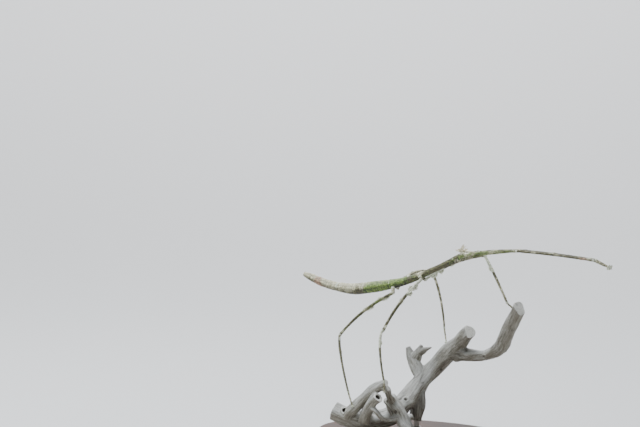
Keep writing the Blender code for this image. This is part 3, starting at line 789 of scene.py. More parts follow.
@dataclass(frozen=True)
class WoolFelt(Finish):
    """Pressed wool felt under the base: no shine, with a cloudy nap."""

    dark: str = "#20241f"
    light: str = "#3a4038"
    # Millimetres: size of the tufts.
    nap: float = 0.5

    def dress(self, add: Adder) -> dict[str, object]:
        """Cloud the colour and raise the nap.

        Args:
            add: Adds a node to the material.

        Returns:
            What goes into the shader's sockets, by name.
        """
        place = add("TexCoord", out="Object")
        cloud = add("TexNoise", {"Vector": place, "Scale": per_metre(self.nap), "Detail": 4.0})
        colour = add("Mix", {SHARE: cloud, FROM: self.dark, TO: self.light}, **MIX)
        bump = add("Bump", {"Height": cloud, "Strength": 0.6, "Distance": 0.1 * MM})
        return {"Base Color": colour, "Normal": bump}


@dataclass(frozen=True)
class MattPaint(Finish):
    """Matt emulsion on the studio's floor and walls: pale and even, with a faint roller texture."""

    base: str = "#d3d4d2"
    # Millimetres: size of the roller's stipple.
    stipple: float = 2.0

    def dress(self, add: Adder) -> dict[str, object]:
        """Give the paint a roller's stipple.

        Args:
            add: Adds a node to the material.

        Returns:
            What goes into the shader's sockets, by name.
        """
        place = add("TexCoord", out="Object")
        cloud = add("TexNoise", {"Vector": place, "Scale": per_metre(self.stipple), "Detail": 2.0})
        bump = add("Bump", {"Height": cloud, "Strength": 0.05, "Distance": 0.2 * MM})
        return {"Base Color": self.base, "Normal": bump}


CUTICLE = LichenCuticle("chitin cuticle, lichen mottled", "cuticle_green", roughness=0.62, ior=1.56)
HORN = HornChitin("horn chitin, waxy", "horn", roughness=0.48, ior=1.56)
CLAW = HornChitin("claw chitin, waxy", "horn", roughness=0.4, ior=1.56, root="#6d5636", tip="#22160d")
EYE = FacetedEye("compound eye cornea", "eye", roughness=0.28)
WOOD = WeatheredDriftwood("driftwood, water worn", "driftwood", roughness=0.72)
BEECH = StainedBeech("beech, stained and lacquered", "stained_beech")
STEEL = BrushedSteel("stainless steel, brushed", "steel_rod", roughness=0.32)
FELT = WoolFelt("wool felt, pressed", "stained_beech", roughness=0.95)
EMULSION = MattPaint("emulsion paint, matt", "", roughness=0.9, ior=1.45)


# ---- The body


def smoothed(rows: tuple, places: Array, blur: float) -> Array:
    """Read a table of sizes with its corners rounded off.

    Args:
        rows: Rows of numbers, of which the first rises.
        places: Where to read, in the unit of the first column.
        blur: How far the rounding reaches, in the same unit.

    Returns:
        The other columns' values, one column of the table to a row.
    """
    table = np.array(rows, float)
    total = np.zeros((table.shape[1] - 1, *places.shape))
    weights = 0.0
    for offset in np.linspace(-1.0, 1.0, 9):
        weight = math.exp(-2.0 * offset * offset)
        for column, values in enumerate(table.T[1:]):
            total[column] += weight * np.interp(places + offset * blur, table[:, 0], values)
        weights += weight
    return total / weights


def painted(**levels: Array | float) -> Paint:
    """Return a mask for every tone of the cuticle: the levels given, and 0 for the rest."""
    return {tone: levels.get(tone, 0.0) for tone in Tone}


def peg(start: Array, end: Array, radii: Pair, **levels: float) -> Shell:
    """Make a rounded, tapered peg.

    Args:
        start: Its root.
        end: Its tip.
        radii: Its radius at either end.
        **levels: Masks of the cuticle's tones.

    Returns:
        The shell.
    """
    forward = unit(end - start)
    side = unit(np.cross(forward, [0.0, 0.0, 1.0] if abs(forward[2]) < 0.9 else [1.0, 0.0, 0.0]))
    share = np.linspace(0.0, 1.0, 13)
    size = radii[0] + (radii[1] - radii[0]) * share ** 1.2
    size *= np.sqrt(np.clip(1.0 - ((share - 0.8) / 0.22).clip(0.0) ** 2, 0.06, 1.0))
    middles = start + (end - start) * share[:, None]
    rings = sweep(middles, side, np.cross(side, forward), size, size, corner_angles(12))
    return tube(rings, painted(**levels))


@dataclass
class Tubercle:
    """A grain or knob of the cuticle: where it is, its height and radius, and how chalky it is."""

    back: float
    angle: float
    height: float
    radius: float
    chalk: float


@dataclass
class Trunk:
    """Thorax and abdomen, along one middle line that runs back from the neck and bends up and down."""

    # Each row: distance behind the neck, slope of the middle line, half width and half height.
    stations: tuple = (
        (0.0, 34.0, 1.15, 1.2), (3.5, 31.0, 1.45, 1.5), (8.5, 27.0, 1.4, 1.45),
        (16.0, 25.5, 1.45, 1.5), (22.0, 24.5, 1.65, 1.65), (28.0, 22.5, 1.95, 1.85),
        (34.0, 18.5, 2.1, 2.05), (40.0, 14.5, 2.45, 2.4), (46.0, 12.0, 2.75, 2.65),
        (53.0, 10.5, 3.0, 2.95), (61.0, 9.5, 3.1, 3.05), (66.0, 5.0, 3.05, 3.0),
        (71.0, -3.0, 2.9, 2.75), (77.0, -7.5, 2.6, 2.45), (84.0, -12.0, 2.5, 2.3),
        (90.0, -19.0, 2.3, 2.15), (96.0, -20.0, 1.85, 1.75), (99.5, -18.0, 1.35, 1.25),
    )
    names: tuple[str, ...] = (
        "prothorax", "mesothorax", "metathorax", "abdomen_2", "abdomen_3", "abdomen_4",
        "abdomen_5", "abdomen_6", "abdomen_7", "abdomen_8", "abdomen_tip",
    )
    lengths: tuple[float, ...] = (4.4, 22.0, 18.3, 6.8, 7.1, 8.4, 8.8, 7.8, 6.6, 4.2, 4.8)
    line_step: float = 0.5
    corners: int = 60
    # How far apart the cross-sections are: in general, and within joint_reach of a joint.
    step: float = 0.28
    joint_step: float = 0.14
    joint_reach: float = 0.9
    rim: float = 0.13
    joint_depth: float = 0.17
    # The hump over the middle legs: its place, reach and height.
    hump: Triple = (32.6, 1.25, 0.72)
    thorax_end: float = 44.7
    coxae: tuple[float, ...] = (2.7, 25.6, 42.5)

    def __post_init__(self) -> None:
        """Walk the middle line."""
        rows = np.array(self.stations)
        self.reach = np.arange(0.0, rows[-1, 0] + self.line_step / 2.0, self.line_step)
        slopes = np.radians(np.interp(self.reach[:-1] + self.line_step / 2.0, rows[:, 0], rows[:, 1]))
        steps = np.stack([np.cos(slopes), np.zeros_like(slopes), np.sin(slopes)], axis=1)
        walked = np.concatenate([np.zeros((1, 3)), np.cumsum(steps, axis=0)]) * self.line_step
        self.line = np.array(NECK) - walked
        self.joints = np.cumsum(self.lengths)[:-1].tolist()

    def middle(self, back: Array) -> Array:
        """Find the body's middle line, which runs on straight past either end.

        Args:
            back: Distances behind the neck.

        Returns:
            A point for each.
        """
        inside = np.clip(back, 0.0, self.reach[-1])
        spots = np.stack([np.interp(inside, self.reach, self.line[:, axis]) for axis in range(3)], axis=-1)
        ahead, behind = self.line[1] - self.line[0], self.line[-1] - self.line[-2]
        tangent = np.where((back < 0.0)[..., None], ahead, behind)
        return spots + (back - inside)[..., None] * tangent / self.line_step

    def sizes(self, back: Array) -> Array:
        """Return the slope in radians, the half width and the half height at distances."""
        slope, half_width, half_height = smoothed(self.stations, back, 2.2)
        return np.stack([np.radians(slope), half_width, half_height])

    def root(self, station: float, across: float, drop: float) -> Array:
        """Find where a leg is rooted.

        Args:
            station: Its distance behind the neck.
            across: How far it is to the left of the middle line.
            drop: How far it is below that line.

        Returns:
            The point.
        """
        rows = np.array(self.stations)
        slope = math.radians(float(np.interp(station, rows[:, 0], rows[:, 1])))
        middle = self.middle(np.array([station]))[0]
        return middle + np.array([math.sin(slope) * drop, across, -math.cos(slope) * drop])

    def places(self) -> Array:
        """Choose where the cross-sections are.

        Returns:
            Distances behind the neck, in order.
        """
        last = self.stations[-1][0]
        near = np.arange(-self.joint_reach, self.joint_reach, self.joint_step)
        places = [np.linspace(0.0, last, round(last / self.step) + 1)]
        places += [joint + near for joint in self.joints]
        merged = np.unique(np.concatenate(places).round(4))
        merged = merged[(merged >= 0.0) & (merged <= last)]
        keep = np.concatenate([[True], np.diff(merged) > self.joint_step * 0.45])
        return merged[keep]

    def tubercles(self) -> list[Tubercle]:
        """Scatter knobs in rows along the back and the flanks, and grains everywhere.

        Returns:
            The knobs and the grains.
        """
        draw = np.random.default_rng(17).uniform
        knobs = []
        for number in range(7):
            for turn in TURNS:
                near = 3.4 + 3.55 * number + 0.35 * turn + draw(-0.3, 0.3)
                knobs.append(Tubercle(near, 0.46 * turn, draw(0.42, 0.6), 0.85, 1.0))
                small = near + 1.7 + draw(-0.3, 0.3)
                knobs.append(Tubercle(small, 0.36 * turn, draw(0.2, 0.32), 0.5, 0.8))
        for number in range(16):
            for turn in TURNS:
                flank = 2.0 + 2.6 * number + draw(-0.4, 0.4)
                knobs.append(Tubercle(flank, 1.35 * turn, draw(0.12, 0.26), 0.45, 0.55))
        for joint in self.joints[2:]:
            for turn in TURNS:
                knobs.append(Tubercle(joint - 0.55, 0.32 * turn, 0.24, 0.55, 0.7))
                knobs.append(Tubercle(joint - 0.6, 1.4 * turn, 0.28, 0.7, 0.5))
        for _ in range(9):
            spot = self.hump[0] + draw(-1.1, 1.1)
            knobs.append(Tubercle(spot, draw(-0.6, 0.6), draw(0.12, 0.26), 0.42, 1.0))
        # Grains: how many, between which distances, how far round, then limits of their sizes.
        for count, first, last, reach, low, high, widest, chalk in (
            (230, 0.5, self.thorax_end, 2.5, 0.06, 0.16, 0.44, 0.42),
            (260, self.thorax_end, 98.0, 2.2, 0.03, 0.09, 0.46, 0.5),
        ):
            for _ in range(count):
                spot, angle = draw(first, last), draw(-reach, reach)
                height, radius = draw(low, high), draw(0.26, widest)
                knobs.append(Tubercle(spot, angle, height, radius, draw(0.0, chalk)))
        return knobs

    def relief(self, back: Array, angle: Array) -> tuple[Array, Array, Array]:
        """Work out how the surface stands off its plain cross-section.

        Args:
            back: Distances behind the neck, one to a row.
            angle: Angles round the body, from its top towards its left, one to a column.

        Returns:
            The broad form, the fine relief, and the chalk that knobs carry, each by row and column.
        """
        spread = np.abs(angle)
        half_width = self.sizes(back)[1]
        broad = np.zeros(np.broadcast(back, angle).shape)
        fine, chalk = broad.copy(), broad.copy()
        abdomen = ramp(back, self.thorax_end - 2.0, self.thorax_end + 4.0)
        place, reach, height = self.hump
        broad += height * bell(back - place, reach) * bell(angle, 0.62)
        for station in self.coxae:
            broad += 0.32 * bell(back - station, 1.7) * bell(spread - 1.95, 0.45)
        broad += 0.22 * ramp(back, 84.0, 88.0) * ramp(back, 99.6, 96.5) * bell(spread - math.pi, 0.5)
        fine += 0.11 * bell(angle, 0.15) * (0.5 + 0.5 * abdomen)
        fine += (0.05 + 0.09 * abdomen) * bell(spread - 1.42, 0.16)
        fine -= (0.05 + 0.08 * abdomen) * bell(spread - 1.78, 0.13)
        for joint in self.joints:
            fine += self.rim * bell(back - joint + 0.5, 0.42) * (0.55 + 0.45 * np.cos(angle / 2.0))
            fine -= self.joint_depth * bell(back - joint, 0.17)
            fine -= 0.05 * bell(back - joint - 1.0, 0.35)
        for knob in self.tubercles():
            girth = np.interp(knob.back, back[:, 0], half_width[:, 0])
            around = wrap(angle - knob.angle) * girth
            near = np.clip(1.0 - np.hypot(back - knob.back, around) / knob.radius, 0.0, 1.0)
            fine += knob.height * near ** 1.35
            chalk = np.maximum(chalk, knob.chalk * ramp(near, 0.3, 0.95))
        round_it = np.stack(
            np.broadcast_arrays(back, half_width * np.sin(angle), half_width * np.cos(angle)), axis=-1
        )
        broad += 0.09 * fractal(round_it / 2.7, 31)
        fine += 0.04 * fractal(round_it / 0.8, 37, 2)
        fine += 0.035 * abdomen * fractal(round_it * np.array([0.22, 1.9, 1.9]), 41, 2)
        return broad, fine, chalk

    def tones(self, back: Array, angle: Array, fine: Array, chalk: Array) -> Paint:
        """Paint the body, from the neck to the tail.

        Args:
            back: Distances behind the neck, one to a row.
            angle: Angles round the body, one to a column.
            fine: The fine relief, by row and column.
            chalk: The chalk that knobs carry, by row and column.

        Returns:
            The masks.
        """
        spread = np.abs(angle)
        upper, top = ramp(spread, 2.3, 1.2), ramp(spread, 1.9, 0.7)
        level = np.zeros_like(fine)
        # From the neck to the hump: olive bark.  Then dark green, bright green, and cream.
        moss = level + 0.42 - 0.15 * bell(back - 14.0, 6.0)
        moss += 0.5 * ramp(back, 32.5, 35.5) * ramp(back, 61.3, 58.3)
        moss += 0.15 * ramp(back, 41.0, 46.0) * ramp(back, 61.0, 58.5)
        moss -= 0.1 * ramp(back, 57.0, 61.0) * (1.0 - upper)
        moss -= 0.3 * ramp(back, 72.0, 82.0)
        lichen = level + 0.14 + 0.16 * top * ramp(back, 30.0, 20.0)
        lichen += 0.5 * bell(back - 25.4, 2.6) * upper
        lichen += 0.26 * top * ramp(back, 42.0, 47.0) * ramp(back, 61.0, 58.5)
        lichen += 0.95 * ramp(back, 57.8, 61.0) * (0.28 + 0.72 * upper)
        lichen *= 1.0 - 0.52 * bell(back - 63.6, 3.2)
        lichen -= 0.25 * bell(back - 90.0, 3.4) * upper
        rust = 0.6 * bell(back - 89.6, 3.2) + 0.42 * bell(back - 85.5, 6.0) * (1.0 - upper)
        # Painted shade on the flanks under the hump, and on the underside from the neck back to the cream
        # part.  The metathorax is darker green, less so on its top.
        shade = 0.55 * bell(back - self.hump[0] - 0.4, 2.0) * bell(spread - 1.35, 0.55)
        shade += 0.34 * ramp(back, 33.5, 35.5) * ramp(back, 45.0, 40.0) * (1.0 - 0.6 * top)
        shade += 0.4 * ramp(spread, 1.5, 2.6) * ramp(back, 82.0, 62.0)
        shade += 0.2 * bell(back - 63.6, 3.4)
        place, reach, _ = self.hump
        patches = [
            0.9 * bell(back - place, reach) * bell(angle, 0.75),
            0.46 * bell(back - 24.6, 2.4) * bell(angle, 0.9),
            0.8 * bell(back - 77.3, 1.0) * upper, 0.6 * bell(back - 60.1, 0.5) * upper,
        ]
        for joint in self.joints:
            shade += 0.35 * bell(back - joint - 0.05, 0.3)
            patches.append(0.42 * bell(back - joint + 0.45, 0.4) * upper)
        for patch in patches:
            chalk = np.maximum(chalk, patch)
        relief = np.clip(fine / 0.17, -1.0, 1.0)
        return painted(moss=moss, lichen=lichen, rust=rust, shade=shade, chalk=chalk, relief=relief)

    def shells(self) -> list[Shell]:
        """Make the body's surface and the two small cerci at its end.

        Returns:
            The shells, the body's first.
        """
        last = self.stations[-1][0]
        places = np.concatenate([[-0.3, -0.16], self.places(), last + np.array([0.22, 0.42, 0.56])])
        slope, half_width, half_height = self.sizes(places)
        up = np.stack([-np.sin(slope), np.zeros_like(slope), np.cos(slope)], axis=-1)
        # Both ends round off.
        close = np.ones(len(places))
        close[:4] = (0.55, 0.8, 0.93, 0.98)
        close[-5:] = (0.97, 0.92, 0.8, 0.6, 0.32)
        angles = corner_angles(self.corners)
        back, angle = places[:, None], wrap(angles)[None, :]
        broad, fine, chalk = self.relief(back, angle)
        rings = sweep(
            self.middle(places), LEFT, up, half_width * close, half_height * close, angles,
            (broad + fine) * close[:, None],
        )
        shells = [tube(rings, self.tones(back, angle, fine, chalk))]
        tail = self.middle(np.array([last - 0.9]))[0]
        for turn in TURNS:
            root = tail + np.array([0.0, 0.62 * turn, 0.35])
            tip = root + np.array([-1.45, 0.22 * turn, 0.25])
            shells.append(peg(root, tip, (0.34, 0.12), lichen=0.7))
        return shells


# ---- The head


@dataclass
class Head:
    """The head capsule with its mouthparts, feelers, eyes and branched horns."""

    gap: float = 0.3
    length: float = 7.0
    slope: float = 18.0
    corners: int = 60
    # Each row: share of the head's length, half width, half height, lift of its middle.
    profile: tuple = (
        (-0.16, 0.8, 0.85, 0.0), (-0.05, 0.95, 1.0, 0.0), (0.02, 1.3, 1.32, 0.02),
        (0.12, 1.48, 1.52, 0.05), (0.32, 1.62, 1.68, 0.15), (0.52, 1.66, 1.62, 0.15),
        (0.7, 1.55, 1.42, 0.05), (0.85, 1.28, 1.14, -0.1), (0.95, 0.88, 0.78, -0.25),
        (1.0, 0.45, 0.4, -0.3), (1.02, 0.16, 0.14, -0.31),
    )
    # Places on the head: share of its length, millimetres across, and millimetres up.
    eye_place: Triple = (0.66, 1.3, 0.45)
    eye_radius: float = 0.62
    antenna_root: Triple = (0.86, 0.62, 0.1)
    antenna_length: float = 34.0
    antenna_heading: float = -9.0
    antenna_splay: float = 1.2
    antenna_slope: float = 5.5
    antenna_sag: float = 0.6
    # Each row: share of the feeler's length, and radius.
    antenna_profile: tuple = (
        (0.0, 0.5), (0.012, 0.56), (0.04, 0.52), (0.05, 0.34), (0.062, 0.4), (0.085, 0.42),
        (0.095, 0.3), (0.12, 0.34), (0.35, 0.31), (0.6, 0.27), (0.85, 0.22), (1.0, 0.17),
    )
    mouth_share: float = 0.72
    # Each row: how far down, half width, half length, and how far ahead the middle is.
    mouth_profile: tuple = (
        (-0.3, 0.86, 0.98, -0.05), (0.4, 0.84, 0.94, 0.0), (1.0, 0.82, 0.9, 0.14),
        (1.5, 0.74, 0.8, 0.28), (1.95, 0.56, 0.6, 0.4), (2.3, 0.32, 0.34, 0.45),
        (2.42, 0.1, 0.1, 0.45),
    )
    # Each palp: its root, and its joints' steps forwards, outwards and down.
    palps: tuple = (
        ((0.66, 0.62, -1.25),
         ((0.25, 0.3, 0.55), (0.42, 0.12, 0.5), (0.5, -0.05, 0.42), (0.42, -0.12, 0.28))),
        ((0.58, 0.3, -1.55), ((0.25, 0.16, 0.45), (0.36, 0.02, 0.4), (0.34, -0.04, 0.24))),
    )
    horn_root: Triple = (0.2, 0.75, 1.0)
    horn_fork: Triple = (0.17, 1.0, 2.1)
    horn_radii: Pair = (0.98, 0.62)
    # Each limb of a horn: start, end, radii there, and how far its middle bows outwards and up.
    horn_limbs: tuple = (
        ((0.17, 1.0, 2.1), (-0.18, 1.45, 3.9), (0.52, 0.11), (0.18, -0.2)),
        ((0.17, 1.0, 2.1), (0.52, 0.42, 5.2), (0.58, 0.1), (0.22, 0.3)),
        ((0.17, 1.0, 2.1), (0.14, 2.7, 3.6), (0.48, 0.11), (0.1, -0.25)),
        ((0.16, 0.85, 1.9), (0.54, 0.82, 2.0), (0.78, 0.46), (0.05, 0.1)),
        ((0.46, 0.8, 1.7), (0.68, 0.95, 2.7), (0.46, 0.12), (0.05, -0.08)),
        ((0.32, 0.85, 3.2), (0.62, 1.1, 4.0), (0.32, 0.07), (0.0, 0.08)),
        ((0.24, 0.95, 2.7), (-0.02, 0.55, 3.7), (0.34, 0.07), (0.0, 0.06)),
        ((0.03, 1.2, 2.9), (-0.22, 0.9, 3.1), (0.3, 0.07), (0.0, 0.05)),
        ((0.15, 1.75, 2.8), (0.34, 2.05, 3.9), (0.3, 0.07), (0.05, 0.0)),
        ((0.15, 2.1, 3.1), (-0.06, 2.35, 3.3), (0.26, 0.06), (0.0, 0.05)),
        ((0.36, 0.95, 2.2), (0.46, 1.65, 2.9), (0.38, 0.09), (0.06, 0.0)),
    )

    def __post_init__(self) -> None:
        """Work out the head's directions."""
        angle = math.radians(self.slope)
        self.forward = np.array([math.cos(angle), 0.0, math.sin(angle)])
        self.up = np.array([-math.sin(angle), 0.0, math.cos(angle)])

    def place(self, share: float, across: float, rise: float, turn: float = 1.0) -> Array:
        """Return a point: a share of the length from the neck, and millimetres across and up."""
        ahead = self.forward * (self.gap + share * self.length)
        return np.array(NECK) + ahead + LEFT * (across * turn) + self.up * rise

    def capsule(self) -> Shell:
        """Make the head capsule, with eye rims, feeler sockets, cheek lines and a brow ridge.

        Returns:
            The shell.
        """
        shares = np.linspace(self.profile[0][0], self.profile[-1][0], 70)
        half_width, half_height, lift = smoothed(self.profile, shares, 0.035)
        angles = corner_angles(self.corners)
        ahead = self.forward * (self.gap + shares[:, None] * self.length)
        middles = np.array(NECK) + ahead + self.up * lift[:, None]
        course = (middles, LEFT, self.up, half_width, half_height, angles)
        plain = sweep(*course)
        share, angle = shares[:, None], wrap(angles)[None, :]
        spread = np.abs(angle)
        upper = ramp(spread, 1.9, 0.8)
        fine = 0.09 * bell(angle, 0.14) * ramp(share, 0.3, 0.45) * ramp(share, 0.95, 0.8)
        fine -= 0.1 * bell(share - 0.01, 0.018)
        fine -= 0.07 * bell(spread - 1.75, 0.1) * ramp(share, 0.1, 0.2)
        fine -= 0.06 * bell(share - 0.865 + 0.03 * np.cos(angle), 0.012) * ramp(spread, 1.6, 1.2)
        fine += 0.06 * bell(spread - 0.5, 0.16) * ramp(share, 0.25, 0.4) * ramp(share, 0.7, 0.6)
        chalk = 0.62 * bell(angle, 0.8)
        for turn in TURNS:
            eye, socket, horn = (
                np.linalg.norm(plain - self.place(*spot, turn), axis=-1)
                for spot in (self.eye_place, self.antenna_root, self.horn_root)
            )
            fine = fine + 0.17 * bell(eye - 0.8, 0.12) - 0.1 * bell(eye, 0.55)
            fine = fine + 0.12 * bell(socket - 0.68, 0.11)
            fine = fine + 0.28 * bell(horn, 1.0)
            chalk = np.maximum(chalk, np.maximum(0.9 * bell(horn, 1.15), 0.5 * bell(eye - 0.85, 0.2)))
        speckle = grains(plain / 0.42, 61)
        fine += 0.075 * ramp(speckle, 0.55, 0.15) * ramp(spread, 2.6, 2.0)
        fine += 0.05 * fractal(plain / 0.9, 67)
        fine *= ramp(share, -0.02, 0.08) * ramp(share, 1.01, 0.93)
        # The underside is painted darker as painted shade, the top is paler, and the neck joint is dark.
        return tube(sweep(*course, fine), painted(
            moss=0.45, lichen=0.1 + 0.85 * upper, chalk=chalk + 0.35 * ramp(speckle, 0.5, 0.2) * upper,
            shade=0.42 * (1.0 - upper) + 0.5 * bell(share - 0.01, 0.03),
            relief=np.clip(fine / 0.14, -1.0, 1.0),
        ))

    def mouth(self) -> list[Shell]:
        """Make the lip with the jaws behind it, and two pairs of jointed palps.

        Returns:
            The shells.
        """
        drops = np.linspace(self.mouth_profile[0][0], self.mouth_profile[-1][0], 34)
        half_width, half_length, ahead = smoothed(self.mouth_profile, drops, 0.1)
        angles = corner_angles(36)
        middles = self.place(self.mouth_share, 0.0, 0.0) - self.up * drops[:, None]
        middles = middles + self.forward * ahead[:, None]
        drop, angle = drops[:, None], wrap(angles)[None, :]
        spread = np.abs(angle)
        fine = -0.12 * bell(spread - 0.95, 0.16) * ramp(drop, 0.7, 1.1)
        fine -= 0.09 * bell(drop - 1.15, 0.07) * ramp(spread, 1.3, 1.0)
        fine -= 0.12 * bell(angle, 0.14) * ramp(drop, 1.8, 2.2)
        fine += 0.1 * bell(spread - 1.6, 0.35) * ramp(drop, 0.5, 1.2)
        fine *= ramp(drop, 2.42, 2.2)
        rings = sweep(middles, LEFT, self.forward, half_width, half_length, angles, fine)
        relief = np.clip(fine / 0.12, -1.0, 1.0)
        shells = [tube(rings, painted(lichen=0.5, shade=0.2, relief=relief))]
        for root, steps in self.palps:
            for turn in TURNS:
                start = self.place(*root, turn)
                for forward, outward, down in steps:
                    end = start + self.forward * forward - self.up * down + LEFT * (outward * turn)
                    reach = start - (end - start) * 0.12
                    shells.append(peg(reach, end + (end - start) * 0.1, (0.15, 0.19), lichen=0.8))
                    start = end
        return shells

    def antenna(self, turn: float) -> Shell:
        """Make one feeler: a stout root joint, a short second one, then a jointed whip.

        Args:
            turn: 1 for the left side and -1 for the right.

        Returns:
            The shell.
        """
        along, side, up = directions(self.antenna_heading + self.antenna_splay * turn, self.antenna_slope)
        share = np.linspace(0.0, 1.0, 150)
        radius = smoothed(self.antenna_profile, share, 0.004)[0]
        marks = np.cumsum(0.85 + 0.05 * np.arange(26)) + 3.1
        place = share * self.antenna_length
        for mark in marks:
            radius = radius + 0.035 * bell(place - mark, 0.24) - 0.035 * bell(place - mark - 0.3, 0.14)
        radius *= np.sqrt(np.clip((1.0 - share) * 34.0 / 0.5, 0.12, 1.0))
        arch = 4.0 * self.antenna_sag * share * (1.0 - share)
        middles = self.place(*self.antenna_root, turn) + along * place[:, None] + up * arch[:, None]
        rings = sweep(middles, side, up, radius, radius, corner_angles(14))
        pale = 0.45 + 0.4 * np.sin(place * 0.9)
        dark = sum(0.55 * bell(place - mark - 0.3, 0.25) for mark in marks)
        return tube(rings, painted(moss=0.15, lichen=pale[:, None], shade=dark[:, None]))

    def shells(self) -> list[Shell]:
        """Return every fleshy part of the head."""
        return [self.capsule(), *self.mouth(), self.antenna(1.0), self.antenna(-1.0)]

    def build_eye(self, side_name: str, turn: float) -> None:
        """Make one eye: a domed oval, a little longer than it is high, half sunk in its rim.

        Args:
            side_name: Which eye it is.
            turn: 1 for the left side and -1 for the right.
        """
        polar = np.linspace(0.02, math.pi - 0.02, 40)
        out = unit(np.array([0.25 * self.forward[0], turn, 0.25 * self.forward[2]]))
        up = unit(self.up - out * (self.up @ out))
        middles = self.place(*self.eye_place, turn) + out * (np.cos(polar) * self.eye_radius)[:, None]
        wide = np.sin(polar) * self.eye_radius
        rings = sweep(middles, np.cross(up, out), up, wide * 1.08, wide * 0.96, corner_angles(56))
        place_piece(add_mesh(f"{side_name}_eye", tube(rings)), EYE, [f"eye_{side_name}"])

    def build_horn(self, side_name: str, turn: float) -> None:
        """Make one horn: a broad root that forks into pointed limbs, all grown together.

        Args:
            side_name: Which horn it is.
            turn: 1 for the left side and -1 for the right.
        """
        fork, root = self.place(*self.horn_fork, turn), self.place(*self.horn_root, turn)
        base = root - (fork - root) * 0.3
        lengths = [(base, fork + (fork - root) * 0.3, self.horn_radii, (0.0, 0.0))]
        lengths += [
            (self.place(*start, turn), self.place(*end, turn), radii, bow)
            for start, end, radii, bow in self.horn_limbs
        ]
        share = np.linspace(0.0, 1.0, 34)
        arch = (4.0 * share * (1.0 - share))[:, None]
        angles = corner_angles(22)
        items = []
        for number, (start, end, radii, bow) in enumerate(lengths):
            line = end - start
            middles = start + line * share[:, None]
            middles = middles + arch * (LEFT * (turn * bow[0]) + self.up * bow[1])
            forward = unit(line)
            side = unit(np.cross(forward, self.forward))
            size = radii[0] + (radii[1] - radii[0]) * share ** 0.8
            size *= np.sqrt(np.clip(1.0 - ((share - 0.9) / 0.102).clip(0.0) ** 2, 0.05, 1.0))
            course = (middles, side, np.cross(side, forward), size, size * 0.85, angles)
            plain = sweep(*course)
            knobs = 0.2 * ramp(grains(plain / 0.6, 71 + number), 0.55, 0.05)
            knobs += 0.09 * fractal(plain / 0.6, 73 + number)
            knobs *= np.clip(size / 0.4, 0.22, 1.0)[:, None]
            # The root keeps its colour, and each limb browns towards its tip.
            tip = (share ** 1.5 * (number > 0))[:, None] * 0.75
            items.append(add_mesh(f"{side_name}_horn", tube(sweep(*course, knobs), {Tone.SHADE: tip})))
        place_piece(unite(items), HORN, [f"horn_{side_name}"])

    def build(self) -> None:
        """Make the eyes and the horns."""
        for side_name, turn in (("left", 1.0), ("right", -1.0)):
            self.build_eye(side_name, turn)
            self.build_horn(side_name, turn)


# ---- The legs


@dataclass
class Lobe:
    """A leaf-like lobe on a leg: place along the link, side, height, half length and chalkiness."""

    place: float
    side: LobeSide
    height: float
    reach: float
    chalk: float = 0.75


@dataclass
class Link:
    """One length of a leg, from the end of the one before it.

    heading turns about +Z from +X, slope rises from the horizontal, bow is how far the middle
    stands off the straight line, sideways and upwards, and peak is where along it.  moss and
    lichen are how green and how pale grey it is, root_chalk how white its inner third is, and rust
    how brown it is just short of its end.
    """

    length: float
    heading: float
    slope: float
    radii: Pair
    bow: Pair = (0.0, 0.0)
    peak: float = 0.5
    lobes: tuple[Lobe, ...] = ()
    moss: float = 0.2
    lichen: float = 0.45
    root_chalk: float = 0.0
    rust: float = 0.0

    def point(self, root: Array, share: Array) -> Array:
        """Find points of the middle line.

        Args:
            root: Where the link starts.
            share: Shares of its length.

        Returns:
            A point for each.
        """
        forward, side, up = directions(self.heading, self.slope)
        skewed = np.clip(share, 0.0, 1.0) ** (math.log(0.5) / math.log(self.peak))
        arch = 4.0 * skewed * (1.0 - skewed)
        straight = root + forward * self.length * np.reshape(share, (-1, 1))
        return straight + (side * self.bow[0] + up * self.bow[1]) * np.reshape(arch, (-1, 1))


# Radii at the root and the end of each kind of link.
FEMUR_HIND = (0.84, 0.68)
FEMUR_MID = (0.8, 0.64)
FEMUR_FORE = (0.72, 0.6)
TIBIA_HIND = (0.72, 0.5)
TIBIA_MID = (0.74, 0.5)
TIBIA_FORE = (0.62, 0.52)
TARSUS = (0.44, 0.44)

FEMUR_HIND_LOBES = (
    Lobe(0.14, UNDER, 0.95, 2.6, 0.95), Lobe(0.22, TOP, 0.7, 2.2, 0.95),
    Lobe(0.4, UNDER, 0.9, 2.6, 0.95), Lobe(0.46, TOP, 0.5, 1.9, 0.9),
    Lobe(0.93, OUTER, 0.35, 1.3),
)
FEMUR_MID_LOBES = (
    Lobe(0.17, UNDER, 1.45, 2.3, 1.0), Lobe(0.22, TOP, 1.15, 1.8, 1.0),
    Lobe(0.29, UNDER, 1.6, 1.7, 1.0), Lobe(0.26, OUTER, 1.1, 1.6, 1.0),
    Lobe(0.46, TOP, 0.6, 2.0, 0.95), Lobe(0.48, UNDER, 0.5, 1.6, 0.9),
    Lobe(0.93, OUTER, 0.35, 1.2),
)
FEMUR_FORE_LOBES = (
    Lobe(0.16, TOP, 0.5, 2.0, 0.9), Lobe(0.36, TOP, 0.95, 1.0, 1.0),
    Lobe(0.6, TOP, 0.3, 1.6), Lobe(0.95, TOP, 0.3, 1.3, 0.95),
)
TIBIA_HIND_LOBES = (Lobe(0.08, TOP, 0.3, 1.2), Lobe(0.3, OUTER, 0.25, 1.4, 0.4))
TIBIA_MID_LOBES = (
    Lobe(0.27, UNDER, 1.15, 1.7, 0.85), Lobe(0.31, TOP, 0.65, 1.2, 0.8),
    Lobe(0.24, OUTER, 0.6, 1.2, 0.8),
)
TIBIA_FORE_LOBES = (Lobe(0.45, TOP, 0.3, 1.8, 0.7), Lobe(0.94, TOP, 0.3, 1.4, 0.95))


